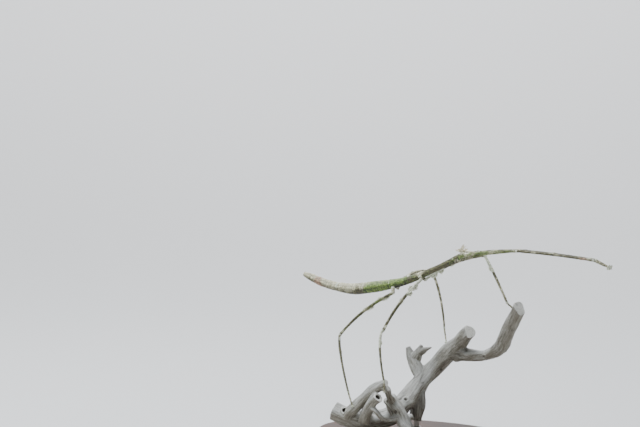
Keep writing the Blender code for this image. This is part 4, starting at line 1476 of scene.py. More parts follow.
@dataclass
class Limb:
    """A leg: where it is rooted on the body, and its four lengths from the body outwards."""

    name: str
    station: float
    across: float
    drop: float
    coxa: Link
    femur: Link
    tibia: Link
    tarsus: Link
    seed: int
    # How broad the foot's end pad is, against a plain one.
    pad: float = 1.15
    step: float = 0.3
    slimness: float = 0.98
    # How far each length reaches into the next one.
    overlap: float = 0.62
    # The two claws: length, root radius, and how far they spread and hook, in degrees.
    claw_length: float = 1.25
    claw_radius: float = 0.15
    claw_spread: float = 26.0
    claw_hook: float = 62.0
    # The foot: share of its length and of its radius, bead by bead, then the pad.
    beads: tuple = (
        (-0.04, 0.6), (0.03, 1.0), (0.25, 1.02), (0.29, 1.12), (0.315, 0.74), (0.34, 0.95),
        (0.45, 1.08), (0.48, 0.74), (0.5, 0.92), (0.58, 1.04), (0.61, 0.72), (0.63, 0.9),
        (0.7, 1.02), (0.73, 0.7), (0.76, 0.74), (0.88, 0.9), (0.92, 1.25), (0.96, 1.55),
        (1.0, 1.1), (1.02, 0.5),
    )

    def upper(self, link: Link, root: Array, part: str) -> Shell:
        """Make a coxa, femur or tibia: ridged, toothed along the ridges and swollen at the knee.

        Args:
            link: Its sizes.
            root: Where it starts.
            part: Which of the three it is.

        Returns:
            The shell.
        """
        corners, swell, ridge, near_cap = {
            "coxa": (24, 0.0, 0.05, 1.3), "femur": (24, 0.22, 0.085, 0.5), "tibia": (20, 0.12, 0.05, 0.45),
        }[part]
        length, past = link.length, self.overlap
        place = np.linspace(-near_cap, length + past, round((length + near_cap + past) / self.step) + 1)
        share = place / length
        inside = np.clip(share, 0.0, 1.0)
        forward, side, up = directions(link.heading, link.slope)
        middles = link.point(root, inside) + forward * (share - inside)[:, None] * length
        radius = link.radii[0] + (link.radii[1] - link.radii[0]) * inside
        radius += swell * bell(length - np.minimum(place, length), 1.4)
        if part == "tibia":
            radius = radius + 0.1 * bell(place - 0.2, 0.7) - 0.12 * bell(place - 1.5, 0.8)
        if part == "femur":
            radius = radius - 0.1 * bell(place - 1.7, 0.28) + 0.05 * bell(place - 0.8, 0.5)
        near = np.clip((place + near_cap) / 0.8, 0.0, 1.0)
        far = np.clip((place - length + 0.1) / 0.74, 0.0, 1.0)
        close = (0.45 + 0.55 * np.sqrt(1.0 - (1.0 - near) ** 2)) * np.sqrt(np.clip(1.0 - far ** 2, 0.08, 1.0))
        angles = corner_angles(corners)
        along, angle = place[:, None], wrap(angles)[None, :]
        teeth = np.zeros((len(place), corners))
        fine = teeth.copy()
        ends = ramp(along, 0.6, 2.0) * ramp(along, length - 0.6, length - 2.2)
        for number, spot in enumerate((0.62, -0.62, 2.5, -2.5)):
            away = wrap(angle - spot)
            draw = np.random.default_rng(self.seed * 10 + number).uniform
            fine += ridge * bell(away, 0.24) * (0.35 + 0.65 * ends)
            for mark in np.arange(1.6, length - 1.0, 1.75) + draw(-0.5, 0.5):
                height = draw(0.05, 0.19) * (1.0 if part != "coxa" else 0.4)
                teeth += height * bell(along - mark, 0.26) * bell(away, 0.34)
        plain = sweep(middles, side, up, radius * self.slimness, radius, angles)
        rough = 0.035 * fractal(plain / 0.6, self.seed + 3, 2) + 0.05 * fractal(plain / 2.2, self.seed + 5, 2)
        if part == "femur":
            fine -= 0.05 * bell(along - length + 0.75, 0.13) * bell(wrap(angle), 1.3)
        extra = (fine + teeth + rough) * close[:, None]
        rings = sweep(middles, side, up, radius * self.slimness * close, radius * close, angles, extra)
        knee = 0.85 * bell(along - length - 0.1, 1.15) * (part != "coxa") + 0.5 * bell(along, 0.9)
        chalk = np.maximum(knee, link.root_chalk * ramp(along, length * 0.42, length * 0.28))
        chalk = np.maximum(chalk, 0.45 * ramp(teeth, 0.05, 0.16))
        for lobe in link.lobes:
            around = bell(wrap(angle - math.radians(lobe.side.value)), 0.9)
            strip = lobe.chalk * 0.8 * bell(along - lobe.place * length, lobe.reach * 0.8)
            chalk = np.maximum(chalk, strip * around)
        bands = 0.1 * np.sin(along * 0.42 + self.seed) + 0.07 * np.sin(along * 1.1 + 2.0 * self.seed)
        # Dark rings at the knee and near the root, and painted shade along the underside, less where the root
        # is chalky.
        dark = 0.5 * bell(along - length + 0.72, 0.3) + 0.35 * bell(along - 1.7, 0.35)
        dark = dark + 0.32 * ramp(np.abs(angle), 1.4, 2.4) * (1.0 - link.root_chalk)
        return tube(rings, painted(
            moss=link.moss * (1.0 - 0.3 * (along / length)), lichen=link.lichen + bands, shade=dark,
            rust=link.rust * bell(along / length - 0.87, 0.09), chalk=chalk,
            relief=np.clip((extra - 0.03) / 0.12, -1.0, 1.0),
        ))

    def leaf(self, link: Link, lobe: Lobe, root: Array, number: int) -> Shell:
        """Make a lobe: a thin, wavy leaf along the leg, with a scalloped edge.

        Args:
            link: The length that it grows on.
            lobe: Its place and sizes.
            root: Where that length starts.
            number: Varies its edge.

        Returns:
            The shell.
        """
        forward, side, up = directions(link.heading, link.slope)
        turn = math.radians(lobe.side.value)
        out = up * math.cos(turn) + side * math.sin(turn)
        thick = np.cross(forward, out)
        share = np.linspace(-1.0, 1.0, 25)
        lean = share - 0.12 * (1.0 - share ** 2)
        radius = link.radii[0] + (link.radii[1] - link.radii[0]) * lobe.place
        wave = np.sin(share * 6.4 + self.seed + 1.7 * number)
        edge = lobe.height * (1.0 - np.abs(share) ** 2.1) ** 0.75
        edge = edge * (1.0 + 0.17 * wave + 0.11 * np.sin(share * 13.0 + number)) + radius
        inner = 0.3 * radius
        half = (np.where(np.abs(share) > 0.97, 0.72 * radius, edge) - inner) / 2.0
        middles = link.point(root, lobe.place + lean * lobe.reach / link.length)
        middles = middles + out * (inner + half)[:, None]
        angles = corner_angles(12)
        thin = 0.15 * (1.0 - 0.42 * np.cos(angles))
        flutter = 0.1 * np.sin(share * 4.0 + number)[:, None] * (0.5 + 0.5 * np.cos(angles)) ** 2
        reach = (np.sin(angles) * thin + flutter)[..., None]
        rise = (np.cos(angles) * half[:, None])[..., None]
        rings = middles[:, None, :] + thick * reach + out * rise
        # Through the relief tint the lobe is painted lighter towards its edge and darker at its root: painted
        # shade at the root.
        tip = ramp(np.cos(angles), -0.7, 0.7)
        return tube(rings, painted(
            moss=0.45, lichen=0.5, chalk=lobe.chalk * (0.25 + 0.6 * tip), relief=-0.35 + 0.9 * tip,
        ))

    def foot(self, root: Array) -> Shell:
        """Make the foot: four short joints with soft pads beneath, a long last one, and its pad.

        Args:
            root: Where it starts.

        Returns:
            The shell.
        """
        link = self.tarsus
        forward, side, up = directions(link.heading, link.slope)
        share = np.linspace(self.beads[0][0], self.beads[-1][0], 72)
        scale = smoothed(self.beads, share, 0.008)[0] * link.radii[0]
        scale *= 1.0 + (self.pad - 1.0) * ramp(share, 0.88, 0.95)
        spread = 1.0 + 0.35 * ramp(share, 0.89, 0.95)
        angles = corner_angles(16)
        pads = np.zeros((len(share), len(angles)))
        for mark in (0.24, 0.43, 0.56, 0.68):
            pads += 0.15 * bell(share - mark, 0.035)[:, None] * bell(wrap(angles - math.pi), 0.8)
        close = np.sqrt(np.clip((1.02 - share) / 0.05, 0.1, 1.0))
        close *= np.sqrt(np.clip((share + 0.045) / 0.05, 0.1, 1.0))
        middles = root + forward * (share * link.length)[:, None]
        rings = sweep(middles, side, up, scale * spread * close, scale * close, angles, pads * close[:, None])
        joints = sum(bell(share - mark, 0.012) for mark in (0.315, 0.48, 0.61, 0.73))[:, None]
        return tube(rings, painted(
            lichen=0.5, moss=0.1, shade=0.6 * joints, chalk=0.85 * ramp(share, 0.87, 0.93)[:, None],
            relief=(0.3 - joints).clip(-1.0, 1.0),
        ))

    def shells(self, trunk: Trunk) -> list[Shell]:
        """Make the leg's four lengths and its lobes, from the body outwards.

        Args:
            trunk: The body that it is rooted on.

        Returns:
            The shells.
        """
        root = trunk.root(self.station, self.across, self.drop)
        shells = []
        for part, link in (("coxa", self.coxa), ("femur", self.femur), ("tibia", self.tibia)):
            shells.append(self.upper(link, root, part))
            shells += [self.leaf(link, lobe, root, number) for number, lobe in enumerate(link.lobes)]
            root = link.point(root, np.array([1.0]))[0]
        self.end = root + directions(self.tarsus.heading, self.tarsus.slope)[0] * self.tarsus.length
        return [*shells, self.foot(root)]

    def build_claws(self) -> None:
        """Make the pair of hooked claws at the foot's end."""
        forward, side, up = directions(self.tarsus.heading, self.tarsus.slope)
        share = np.linspace(0.0, 1.0, 30)
        hook, spread = np.radians(self.claw_hook) * share ** 1.2, math.radians(self.claw_spread)
        size = self.claw_radius * (1.0 - share) ** 0.7 + 0.015
        step = self.claw_length / len(share)
        items = []
        for turn in TURNS:
            out = forward * math.cos(spread) + side * turn * math.sin(spread)
            course = np.cos(hook)[:, None] * out - np.sin(hook)[:, None] * up
            middles = self.end - forward * 0.35 + side * turn * 0.16 + np.cumsum(course, axis=0) * step
            across = np.cross(course, up)
            across = across / np.linalg.norm(across, axis=1)[:, None]
            rings = sweep(middles, across, np.cross(across, course), size, size * 1.15, corner_angles(14))
            items.append(add_mesh(f"{self.name}_claws", tube(rings, {Tone.SHADE: share[:, None]})))
        place_piece(unite(items), CLAW, [])


LIMBS = (
    Limb("hind_right", 42.5, -1.9, 1.8,
         Link(3.5, -59.5, -48.5, (1.05, 0.88), moss=0.5, lichen=0.6, root_chalk=0.6),
         Link(37.0, -159.0, -39.0, FEMUR_HIND, (0.1, 2.0), lobes=FEMUR_HIND_LOBES, moss=0.5, lichen=0.36),
         Link(34.0, -47.5, -55.0, TIBIA_HIND, (-1.2, 0.0), 0.35, TIBIA_HIND_LOBES, lichen=0.26),
         Link(8.6, -36.0, -52.0, TARSUS), 101),
    Limb("hind_left", 42.5, 1.9, 1.8,
         Link(2.5, 92.0, -25.0, (1.05, 0.88), moss=0.5, lichen=0.6),
         Link(37.0, 86.0, 9.0, FEMUR_HIND, (0.8, 3.8), 0.45, FEMUR_HIND_LOBES, moss=0.25, lichen=0.62),
         Link(34.0, -38.5, -61.5, TIBIA_HIND, (1.4, 0.6), 0.45, TIBIA_HIND_LOBES, lichen=0.42),
         Link(8.6, -50.0, -59.0, TARSUS), 113),
    Limb("mid_right", 25.6, -1.5, 0.5,
         Link(2.5, -41.5, -25.0, (0.95, 0.82), moss=0.5, lichen=0.5, root_chalk=0.6),
         Link(34.3, -132.5, -51.0, FEMUR_MID, (-0.4, 1.5), 0.5, FEMUR_MID_LOBES, 0.4, 0.34, 0.72),
         Link(28.5, -60.0, -59.5, TIBIA_MID, (-1.8, 0.0), 0.33, TIBIA_MID_LOBES, 0.2, 0.3, 0.65),
         Link(7.0, 114.0, -58.0, TARSUS), 127),
    Limb("mid_left", 25.6, 1.5, 0.5,
         Link(2.5, 23.0, -56.0, (0.95, 0.82), moss=0.3, lichen=0.6, root_chalk=0.8),
         Link(34.3, 23.5, 23.0, FEMUR_MID, (0.1, 2.5), 0.5, FEMUR_MID_LOBES, 0.3, 0.42, 1.0),
         Link(28.5, -16.5, -57.0, TIBIA_MID, (0.2, 0.2), 0.5, TIBIA_MID_LOBES, 0.2, 0.48, 0.95),
         Link(7.0, 72.0, -34.0, TARSUS), 131),
    Limb("fore_right", 2.7, -1.1, 1.1,
         Link(2.5, -40.0, 6.0, (0.85, 0.72), moss=0.3, lichen=0.6),
         Link(36.5, -9.5, 11.0, FEMUR_FORE, (-0.1, 2.1), 0.25, FEMUR_FORE_LOBES, 0.66, 0.4),
         Link(41.5, -3.0, -3.5, TIBIA_FORE, (0.0, 0.4), 0.5, TIBIA_FORE_LOBES, 0.1, 0.32, rust=0.52),
         Link(8.6, 0.0, -21.0, TARSUS), 149, pad=2.2),
    Limb("fore_left", 2.7, 1.1, 1.1,
         Link(2.5, 55.0, 8.0, (0.85, 0.72), moss=0.3, lichen=0.6),
         Link(36.5, -8.5, 10.5, FEMUR_FORE, (-0.1, 1.0), 0.25, FEMUR_FORE_LOBES, 0.66, 0.4),
         Link(41.5, -4.5, -3.5, TIBIA_FORE, (0.0, 0.4), 0.5, TIBIA_FORE_LOBES, 0.1, 0.3, rust=0.52),
         Link(8.6, -5.0, -24.0, TARSUS), 151, pad=2.2),
)


@dataclass
class Insect:
    """The whole insect: one cuticle over everything of flesh, with eyes, horns and claws."""

    trunk: Trunk = field(default_factory=Trunk)
    head: Head = field(default_factory=Head)
    limbs: tuple[Limb, ...] = LIMBS
    sheet_size: float = 108.0

    def build(self) -> None:
        """Make every piece of the insect."""
        sheet = PatternSheet(self.sheet_size)
        items = []
        parts = [self.trunk.shells(), self.head.shells()]
        for shells in parts + [limb.shells(self.trunk) for limb in self.limbs]:
            for shell in shells:
                sheet.lay(shell)
            items.append(unite([add_mesh("cuticle_skin", shell, self.sheet_size) for shell in shells]))
        LOG.info("pattern sheet: %.1f of %.1f mm used", sheet.row + sheet.tallest, self.sheet_size)
        nodes = [*self.trunk.names, "head", "mouthparts", "antenna_left", "antenna_right"]
        for limb in self.limbs:
            nodes += [f"{limb.name}_{part}" for part in ("coxa", "femur", "tibia", "tarsus")]
        place_piece(unite(items), CUTICLE, nodes)
        self.head.build()
        for limb in self.limbs:
            limb.build_claws()


# ---- The perch


@dataclass
class Bough:
    """A length of driftwood: a number that varies its lumps, and rows of X, Y, Z and radius."""

    seed: int
    rows: tuple
    sawn_root: bool = False
    sawn_tip: bool = True
    # The direction that a slanting cut at the tip faces, if it slants, and how far wood runs past.
    cut: Triple | None = None
    overrun: float = 4.5
    step: float = 0.8
    corners: int = 40
    lumps: int = 10
    gnarl: float = 0.07

    def __post_init__(self) -> None:
        """Work out the middle line, the radii and a frame that doesn't twist along it."""
        table = np.array(self.rows, float)
        padded = np.concatenate([table[:1], table, table[-1:]])
        close, numbers = [], []
        for number, span in enumerate(np.linalg.norm(np.diff(table[:, :3], axis=0), axis=1)):
            before, start, end, after = padded[number:number + 4]
            share = np.linspace(0.0, 1.0, max(2, round(span / self.step)), endpoint=False)[:, None]
            close.append(0.5 * (
                2.0 * start + (end - before) * share
                + (2.0 * before - 5.0 * start + 4.0 * end - after) * share ** 2
                + (3.0 * start - before - 3.0 * end + after) * share ** 3
            ))
            numbers.append(number + share[:, 0])
        close = np.concatenate([*close, table[-1:]])
        self.numbers = np.concatenate([*numbers, [len(table) - 1.0]])
        if self.cut is not None:
            ahead = close[-1] - close[-2]
            ahead[3] = 0.0
            reach = np.arange(self.step, self.overrun, self.step) / np.linalg.norm(ahead)
            close = np.concatenate([close, close[-1] + ahead * reach[:, None]])
            self.numbers = np.concatenate([self.numbers, np.full(len(reach), len(table) - 1.0)])
        self.middles, self.radii = close[:, :3], close[:, 3]
        course = np.gradient(self.middles, axis=0)
        self.course = course / np.linalg.norm(course, axis=1)[:, None]
        side = np.array(Vector(self.middles[1] - self.middles[0]).orthogonal())
        sides = []
        for along in self.course:
            side = unit(side - along * (side @ along))
            sides.append(side)
        self.sides = np.array(sides)
        self.ups = np.cross(self.sides, self.course)
        gaps = np.linalg.norm(np.diff(self.middles, axis=0), axis=1)
        self.travel = np.concatenate([[0.0], np.cumsum(gaps)])

    def shell(self) -> Shell:
        """Make the bough's lumpy but still plain surface.

        Returns:
            The shell.
        """
        knots = np.arange(self.lumps)
        wave = np.sin(2.3 * knots + 1.1 * self.seed)
        wave = wave + np.sin(3.4 * self.numbers[:, None] + 1.9 * knots + self.seed)
        spectrum = np.fft.rfft(wave * self.gnarl * self.radii[:, None], axis=1)
        lumps = np.fft.irfft(spectrum, self.corners, axis=1) * self.corners / self.lumps
        angles = corner_angles(self.corners)
        return tube(sweep(self.middles, self.sides, self.ups, self.radii, self.radii, angles, lumps))

    def faces(self) -> list[tuple[Array, Array, float]]:
        """Find the sawn ends.

        Returns:
            The middle of each, the direction that it faces, and its radius.
        """
        ends = []
        if self.sawn_tip:
            facing = self.course[-1] if self.cut is None else np.array(self.cut)
            ends.append((np.array(self.rows[-1][:3]), unit(facing), self.radii[-1]))
        if self.sawn_root:
            ends.append((np.array(self.rows[0][:3]), -self.course[0], self.radii[0]))
        return ends

    def nearest(self, points: Array) -> tuple[Array, Array]:
        """Find where points are along the bough.

        Args:
            points: Places in millimetres.

        Returns:
            For each point, its distance from the middle line as a share of the radius, and its
            place across, across and along in millimetres.
        """
        square = (points ** 2).sum(axis=1)[:, None] + (self.middles ** 2).sum(axis=1)[None, :]
        index = (square - 2.0 * points @ self.middles.T).argmin(axis=1)
        offset = points - self.middles[index]
        across, rise, ahead = (
            (offset * axis[index]).sum(axis=1) for axis in (self.sides, self.ups, self.course)
        )
        past_end = np.where(index == len(self.middles) - 1, ahead, 0.0)
        past_root = np.where(index == 0, -ahead, 0.0)
        beyond = np.maximum(np.maximum(past_root, past_end), 0.0)
        near = np.sqrt(across ** 2 + rise ** 2 + beyond ** 2) / self.radii[index]
        return near, np.stack([across, rise, self.travel[index] + ahead], axis=1)


@dataclass
class Knot:
    """A knot where a twig broke off: its place on the wood, its radius, and how deep its hole is.

    A boss that stands out has a depth below 0.
    """

    place: Triple
    radius: float
    hole: float
    rim: float = 0.35


BOUGHS = {
    "main": Bough(1, (
        (-41.5, -25.0, 21.5, 4.7), (-34.0, -23.5, 18.8, 4.6), (-25.5, -18.5, 17.2, 4.7),
        (-17.0, -9.0, 18.2, 4.9), (-13.5, 3.0, 24.0, 5.1), (-11.5, 12.0, 30.0, 5.1),
        (-9.5, 20.0, 35.5, 4.8), (-5.0, 25.5, 42.0, 4.7), (3.0, 26.2, 50.0, 4.9),
        (10.7, 23.0, 57.0, 4.1), (17.6, 19.3, 63.0, 3.5),
    ), sawn_root=True, cut=(0.83, -0.38, 0.42)),
    "fork": Bough(2, (
        (5.5, 25.5, 48.8, 4.3), (10.0, 25.0, 49.6, 4.0), (16.0, 24.0, 49.4, 3.4),
        (24.2, 23.2, 50.0, 2.8), (29.9, 22.0, 52.4, 3.3), (35.1, 20.7, 55.9, 3.9),
        (38.3, 18.4, 61.2, 3.8), (43.9, 14.2, 70.1, 3.8), (50.1, 9.3, 79.2, 3.5),
    ), cut=(0.857, -0.342, 0.382), gnarl=0.045),
    "twig": Bough(3, (
        (-10.5, 18.0, 35.5, 3.6), (-15.0, 20.5, 40.7, 3.4), (-18.9, 22.3, 45.2, 2.8),
        (-21.2, 22.6, 51.4, 1.3),
    ), sawn_tip=False),
    "prong": Bough(4, (
        (-16.5, 22.0, 44.5, 2.5), (-14.6, 22.4, 48.0, 2.3), (-11.8, 22.4, 50.0, 1.8),
        (-9.0, 22.4, 51.2, 1.1), (-6.4, 22.4, 52.2, 0.35),
    ), sawn_tip=False),
    "nub": Bough(9, (
        (-17.2, 22.0, 43.5, 2.9), (-15.4, 22.4, 47.0, 2.7), (-13.9, 22.4, 50.2, 1.9),
        (-12.9, 22.4, 52.9, 0.8),
    ), sawn_tip=False),
    "rear_root": Bough(5, (
        (-11.0, 14.0, 31.0, 4.2), (-9.5, 12.0, 24.5, 4.2), (-9.5, 10.5, 18.5, 3.8),
        (-9.8, 9.5, 13.5, 3.3),
    )),
    "front_root": Bough(6, (
        (-15.5, -5.0, 21.5, 3.6), (-13.5, -11.5, 26.6, 3.7), (-11.0, -15.5, 27.0, 3.9),
        (-6.5, -16.2, 21.8, 4.0), (-2.5, -17.2, 16.0, 3.9), (-1.0, -17.7, 12.2, 3.6),
    ), gnarl=0.11),
    "knuckle": Bough(10, (
        (-5.5, -16.6, 19.5, 2.9), (-2.2, -14.6, 20.2, 2.1), (-0.2, -13.8, 21.2, 1.3),
    ), sawn_tip=False),
    "bridge": Bough(11, (
        (-11.6, -27.2, 38.0, 2.2), (-8.8, -26.6, 36.3, 1.9), (-8.9, -23.6, 32.4, 1.6),
        (-10.0, -19.0, 29.3, 2.1), (-11.0, -15.5, 27.0, 3.0),
    ), sawn_tip=False),
    "brace": Bough(12, (
        (-17.0, -29.0, 27.0, 1.9), (-13.2, -30.4, 25.3, 1.4), (-10.7, -28.4, 21.6, 1.3),
        (-8.9, -24.5, 20.0, 1.5), (-6.4, -18.5, 20.3, 2.4),
    ), sawn_tip=False),
    "ring_knot": Bough(13, (
        (-35.0, -23.6, 21.4, 2.7), (-34.4, -26.0, 22.6, 2.3), (-33.2, -28.1, 23.4, 2.0),
    )),
    "side_stub": Bough(7, (
        (-33.5, -24.0, 19.5, 3.3), (-30.0, -27.3, 23.0, 3.2), (-25.4, -27.3, 27.0, 3.0),
        (-19.8, -27.0, 32.6, 2.9), (-14.5, -27.0, 36.8, 2.7), (-9.0, -27.0, 39.9, 2.4),
    )),
    "hollow_stub": Bough(8, (
        (-23.5, -20.0, 18.0, 3.6), (-22.0, -26.0, 19.5, 3.3), (-19.5, -28.4, 24.0, 2.9),
        (-16.0, -29.4, 29.2, 2.7), (-12.0, -30.2, 32.8, 2.9),
    )),
}

KNOTS = (
    Knot((-11.0, -0.4, 26.9), 1.2, 0.8), Knot((-13.4, -18.5, 28.5), 1.6, -0.7),
    Knot((-7.0, -19.8, 24.0), 1.1, 0.6), Knot((-1.5, -20.8, 15.5), 1.8, -0.8),
    Knot((-8.4, 2.7, 23.7), 1.5, -0.8), Knot((25.4, 20.3, 49.7), 1.0, 0.45),
    Knot((44.8, 12.2, 66.7), 0.9, 0.4), Knot((-1.4, 23.4, 39.8), 1.1, 0.5),
    Knot((14.4, 21.3, 55.2), 1.9, -0.75, 0.0), Knot((38.5, 19.4, 54.1), 2.2, -0.6, 0.0),
    Knot((-17.0, -2.0, 24.5), 1.4, 0.7), Knot((-9.0, 24.5, 37.5), 1.6, 0.8),
    Knot((4.0, 30.5, 49.0), 1.5, 0.8), Knot((36.0, 24.0, 58.0), 1.3, 0.6),
    Knot((-30.0, -18.0, 20.5), 1.6, 0.8),
)


@dataclass
class Driftwood:
    """The perch: forked, water-worn boughs grown into one piece of wood."""

    boughs: dict[str, Bough] = field(default_factory=lambda: BOUGHS)
    knots: tuple[Knot, ...] = KNOTS
    voxel: float = 0.34
    blend: float = 0.14
    # The boughs with a rotted-out tip: how wide the hole is at its mouth and floor, and its depth.
    bores: tuple[tuple[str, float, float, float], ...] = (
        ("hollow_stub", 1.5, 1.0, 4.0), ("ring_knot", 1.2, 0.8, 2.2),
    )

    def block(self) -> Item:
        """Grow the boughs into one evenly meshed surface, bore the hollow tips and cut the ends.

        Returns:
            The wood, still without grain.
        """
        wood = unite([add_mesh("driftwood_perch", bough.shell()) for bough in self.boughs.values()])
        tools = []
        for name, wide, narrow, depth in self.bores:
            stub, share = self.boughs[name], np.linspace(-0.35, 1.0, 12)
            middles = stub.middles[-1] - stub.course[-1] * (share * depth)[:, None]
            size = wide + (narrow - wide) * np.clip(share, 0.0, 1.0)
            rings = sweep(middles, stub.sides[-1], stub.ups[-1], size, size * 0.85, corner_angles(24))
            tools.append(add_mesh("bore", tube(rings)))
        tools += [self.saw(bough) for bough in self.boughs.values() if bough.cut is not None]
        for tool in tools:
            cut = wood.modifiers.new("Cut", "BOOLEAN")
            cut.operation, cut.solver, cut.object = "DIFFERENCE", "MANIFOLD", tool
        remesh = wood.modifiers.new("Even mesh", "REMESH")
        remesh.mode, remesh.voxel_size = "VOXEL", self.voxel * MM
        soften = wood.modifiers.new("Soften crotches", "SMOOTH")
        soften.factor, soften.iterations = 0.5, 3
        settle(wood)
        for tool in tools:
            bpy.data.objects.remove(tool, do_unlink=True)
        return wood

    def saw(self, bough: Bough) -> Item:
        """Make a short round block that takes off whatever lies past a slanting cut.

        Args:
            bough: The bough that is cut.

        Returns:
            The block.
        """
        place, facing, radius = bough.faces()[0]
        side = unit(np.cross(facing, [0.0, 0.0, 1.0]))
        middles = place + facing * np.linspace(0.0, radius * 2.5, 4)[:, None]
        size = np.full(4, radius * 2.2)
        rings = sweep(middles, side, np.cross(side, facing), size, size, corner_angles(24))
        return add_mesh("saw_block", tube(rings))

    def grain(self, fibre: Array, seed: int) -> tuple[Array, Array]:
        """Work out how the worn grain stands off the wood, and how dark its checks are painted, as shade in
        them.

        Args:
            fibre: Places across, across and along the bough, in millimetres.
            seed: Varies the grain.

        Returns:
            The height in millimetres and the darkness from 0 to 1.
        """
        broad = 0.3 * fractal(fibre / np.array([3.6, 3.6, 8.0]), seed)
        ridges = np.abs(noise(fibre / np.array([2.3, 2.3, 17.0]), seed + 5))
        fine = noise(fibre / np.array([1.0, 1.0, 8.0]), seed + 7)
        rare = ramp(noise(fibre / np.array([3.4, 3.4, 19.0]), seed + 9), -0.05, 0.35)
        check = ramp(ridges, 0.3, 0.0) * rare
        return broad + 0.07 * fine - 0.3 * check, 0.55 * check ** 2

    def wear(self, points: Array, normals: Array) -> tuple[Array, Array, dict[str, Array]]:
        """Wear the wood: open grain, sawn faces, knots and rotted hollows, with masks for painted shade in
        the recesses and for painted top light and underside shade.

        Args:
            points: Places on the wood, in millimetres.
            normals: The direction that the wood faces there.

        Returns:
            How far each place stands out, its place along the fibres, and the masks.
        """
        found = [bough.nearest(points) for bough in self.boughs.values()]
        near = np.stack([one[0] for one in found])
        weights = np.exp(-(near - near.min(axis=0)) / self.blend)
        weights /= weights.sum(axis=0)
        height, dark, sawn = np.zeros((3, len(points)))
        for bough, weight, (_, fibre) in zip(self.boughs.values(), weights, found):
            high, deep = self.grain(fibre, 200 + 20 * bough.seed)
            height += weight * high
            dark += weight * deep
        owner = near.argmin(axis=0)
        fibre = np.stack([one[1] for one in found])[owner, np.arange(len(points))]
        radial = np.hypot(fibre[:, 0], fibre[:, 1])
        for place, facing, radius in (face for bough in self.boughs.values() for face in bough.faces()):
            offset = points - place
            past = offset @ facing
            flat_away = np.linalg.norm(offset - past[:, None] * facing, axis=1)
            face = bell(past, 0.45) * ramp(normals @ facing, 0.55, 0.85)
            face *= ramp(flat_away, radius * 1.9, radius * 1.6)
            radial = np.where(face > 0.5, flat_away, radial)
            sawn = np.maximum(sawn, face)
        radial += 0.45 * noise(points / 2.6, 733)
        height *= 1.0 - 0.9 * sawn
        height += 0.02 * sawn * np.sin(radial * TURN / 0.8)
        # Splits in the sawn faces are sunk and painted dark: painted shade in them.
        split = np.abs(noise(fibre / np.array([1.7, 1.7, 40.0]), 404))
        split = (1.0 - np.clip(split / 0.08, 0.0, 1.0)) * sawn
        dark = np.maximum(dark * (1.0 - 0.8 * sawn), 0.5 * split)
        height -= 0.12 * split
        for knot in self.knots:
            away = np.linalg.norm(points - np.array(knot.place), axis=1)
            share = np.linalg.norm(points - points[away.argmin()], axis=1) / knot.radius
            height += knot.rim * bell(share - 1.15, 0.35) - knot.hole * bell(share, 0.62)
            height += 0.06 * np.sin(share * 9.0) * bell(share - 1.3, 0.7)
            # Knot holes are painted dark, the deeper the darker: painted shade in them.
            dark = np.maximum(dark, ramp(share, 0.95, 0.45) * min(1.0, max(knot.hole, 0.0)))
        # The rotted bores are painted dark inside: painted shade in them.
        for name, wide, _, depth in self.bores:
            stub = self.boughs[name]
            offset = points - stub.middles[-1]
            inward = offset @ stub.course[-1]
            around = np.linalg.norm(np.cross(offset, stub.course[-1]), axis=1)
            pith = ramp(around, wide * 1.15, wide * 0.9) * ramp(inward, -0.1, -0.8)
            dark = np.maximum(dark, 0.9 * pith * ramp(inward, -depth * 1.3, -depth))
        # Upward faces get the silver mask and downward ones the brown: sun bleaching, and painted top light
        # and underside shade.
        bleach = ramp(normals[:, 2] + 0.35 * fractal(points / 9.0, 611), -0.75, 0.85)
        # Boughs are kept apart in the pattern, and it is drawn out along the fibres.
        fibre = fibre * np.array([1.0, 1.0, 0.11]) + owner[:, None] * 13.7
        return height, fibre, {"groove": dark, "sawn": sawn, "radial": radial, "bleach": bleach}

    def build(self) -> None:
        """Make the wood, wear its grain into it and lay its masks."""
        wood = self.block()
        mesh = wood.data
        read = []
        for name in ("co", "normal"):
            flat = np.zeros(len(mesh.vertices) * 3, np.float32)
            mesh.vertices.foreach_get(name, flat)
            read.append(flat.reshape(-1, 3).astype(float))
        points, normals = read[0] / MM, read[1]
        height, fibre, masks = self.wear(points, normals)
        points += normals * height[:, None]
        mesh.vertices.foreach_set("co", (points * MM).astype(np.float32).reshape(-1))
        layer = mesh.attributes.new("fibre", "FLOAT_VECTOR", "POINT")
        layer.data.foreach_set("vector", fibre.astype(np.float32).reshape(-1))
        for name, values in masks.items():
            layer = mesh.attributes.new(name, "FLOAT", "POINT")
            layer.data.foreach_set("value", values.astype(np.float32))
        mesh.shade_smooth()
        mesh.update()
        place_piece(wood, WOOD, [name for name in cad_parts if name.startswith("perch_")])


# ---- The stand


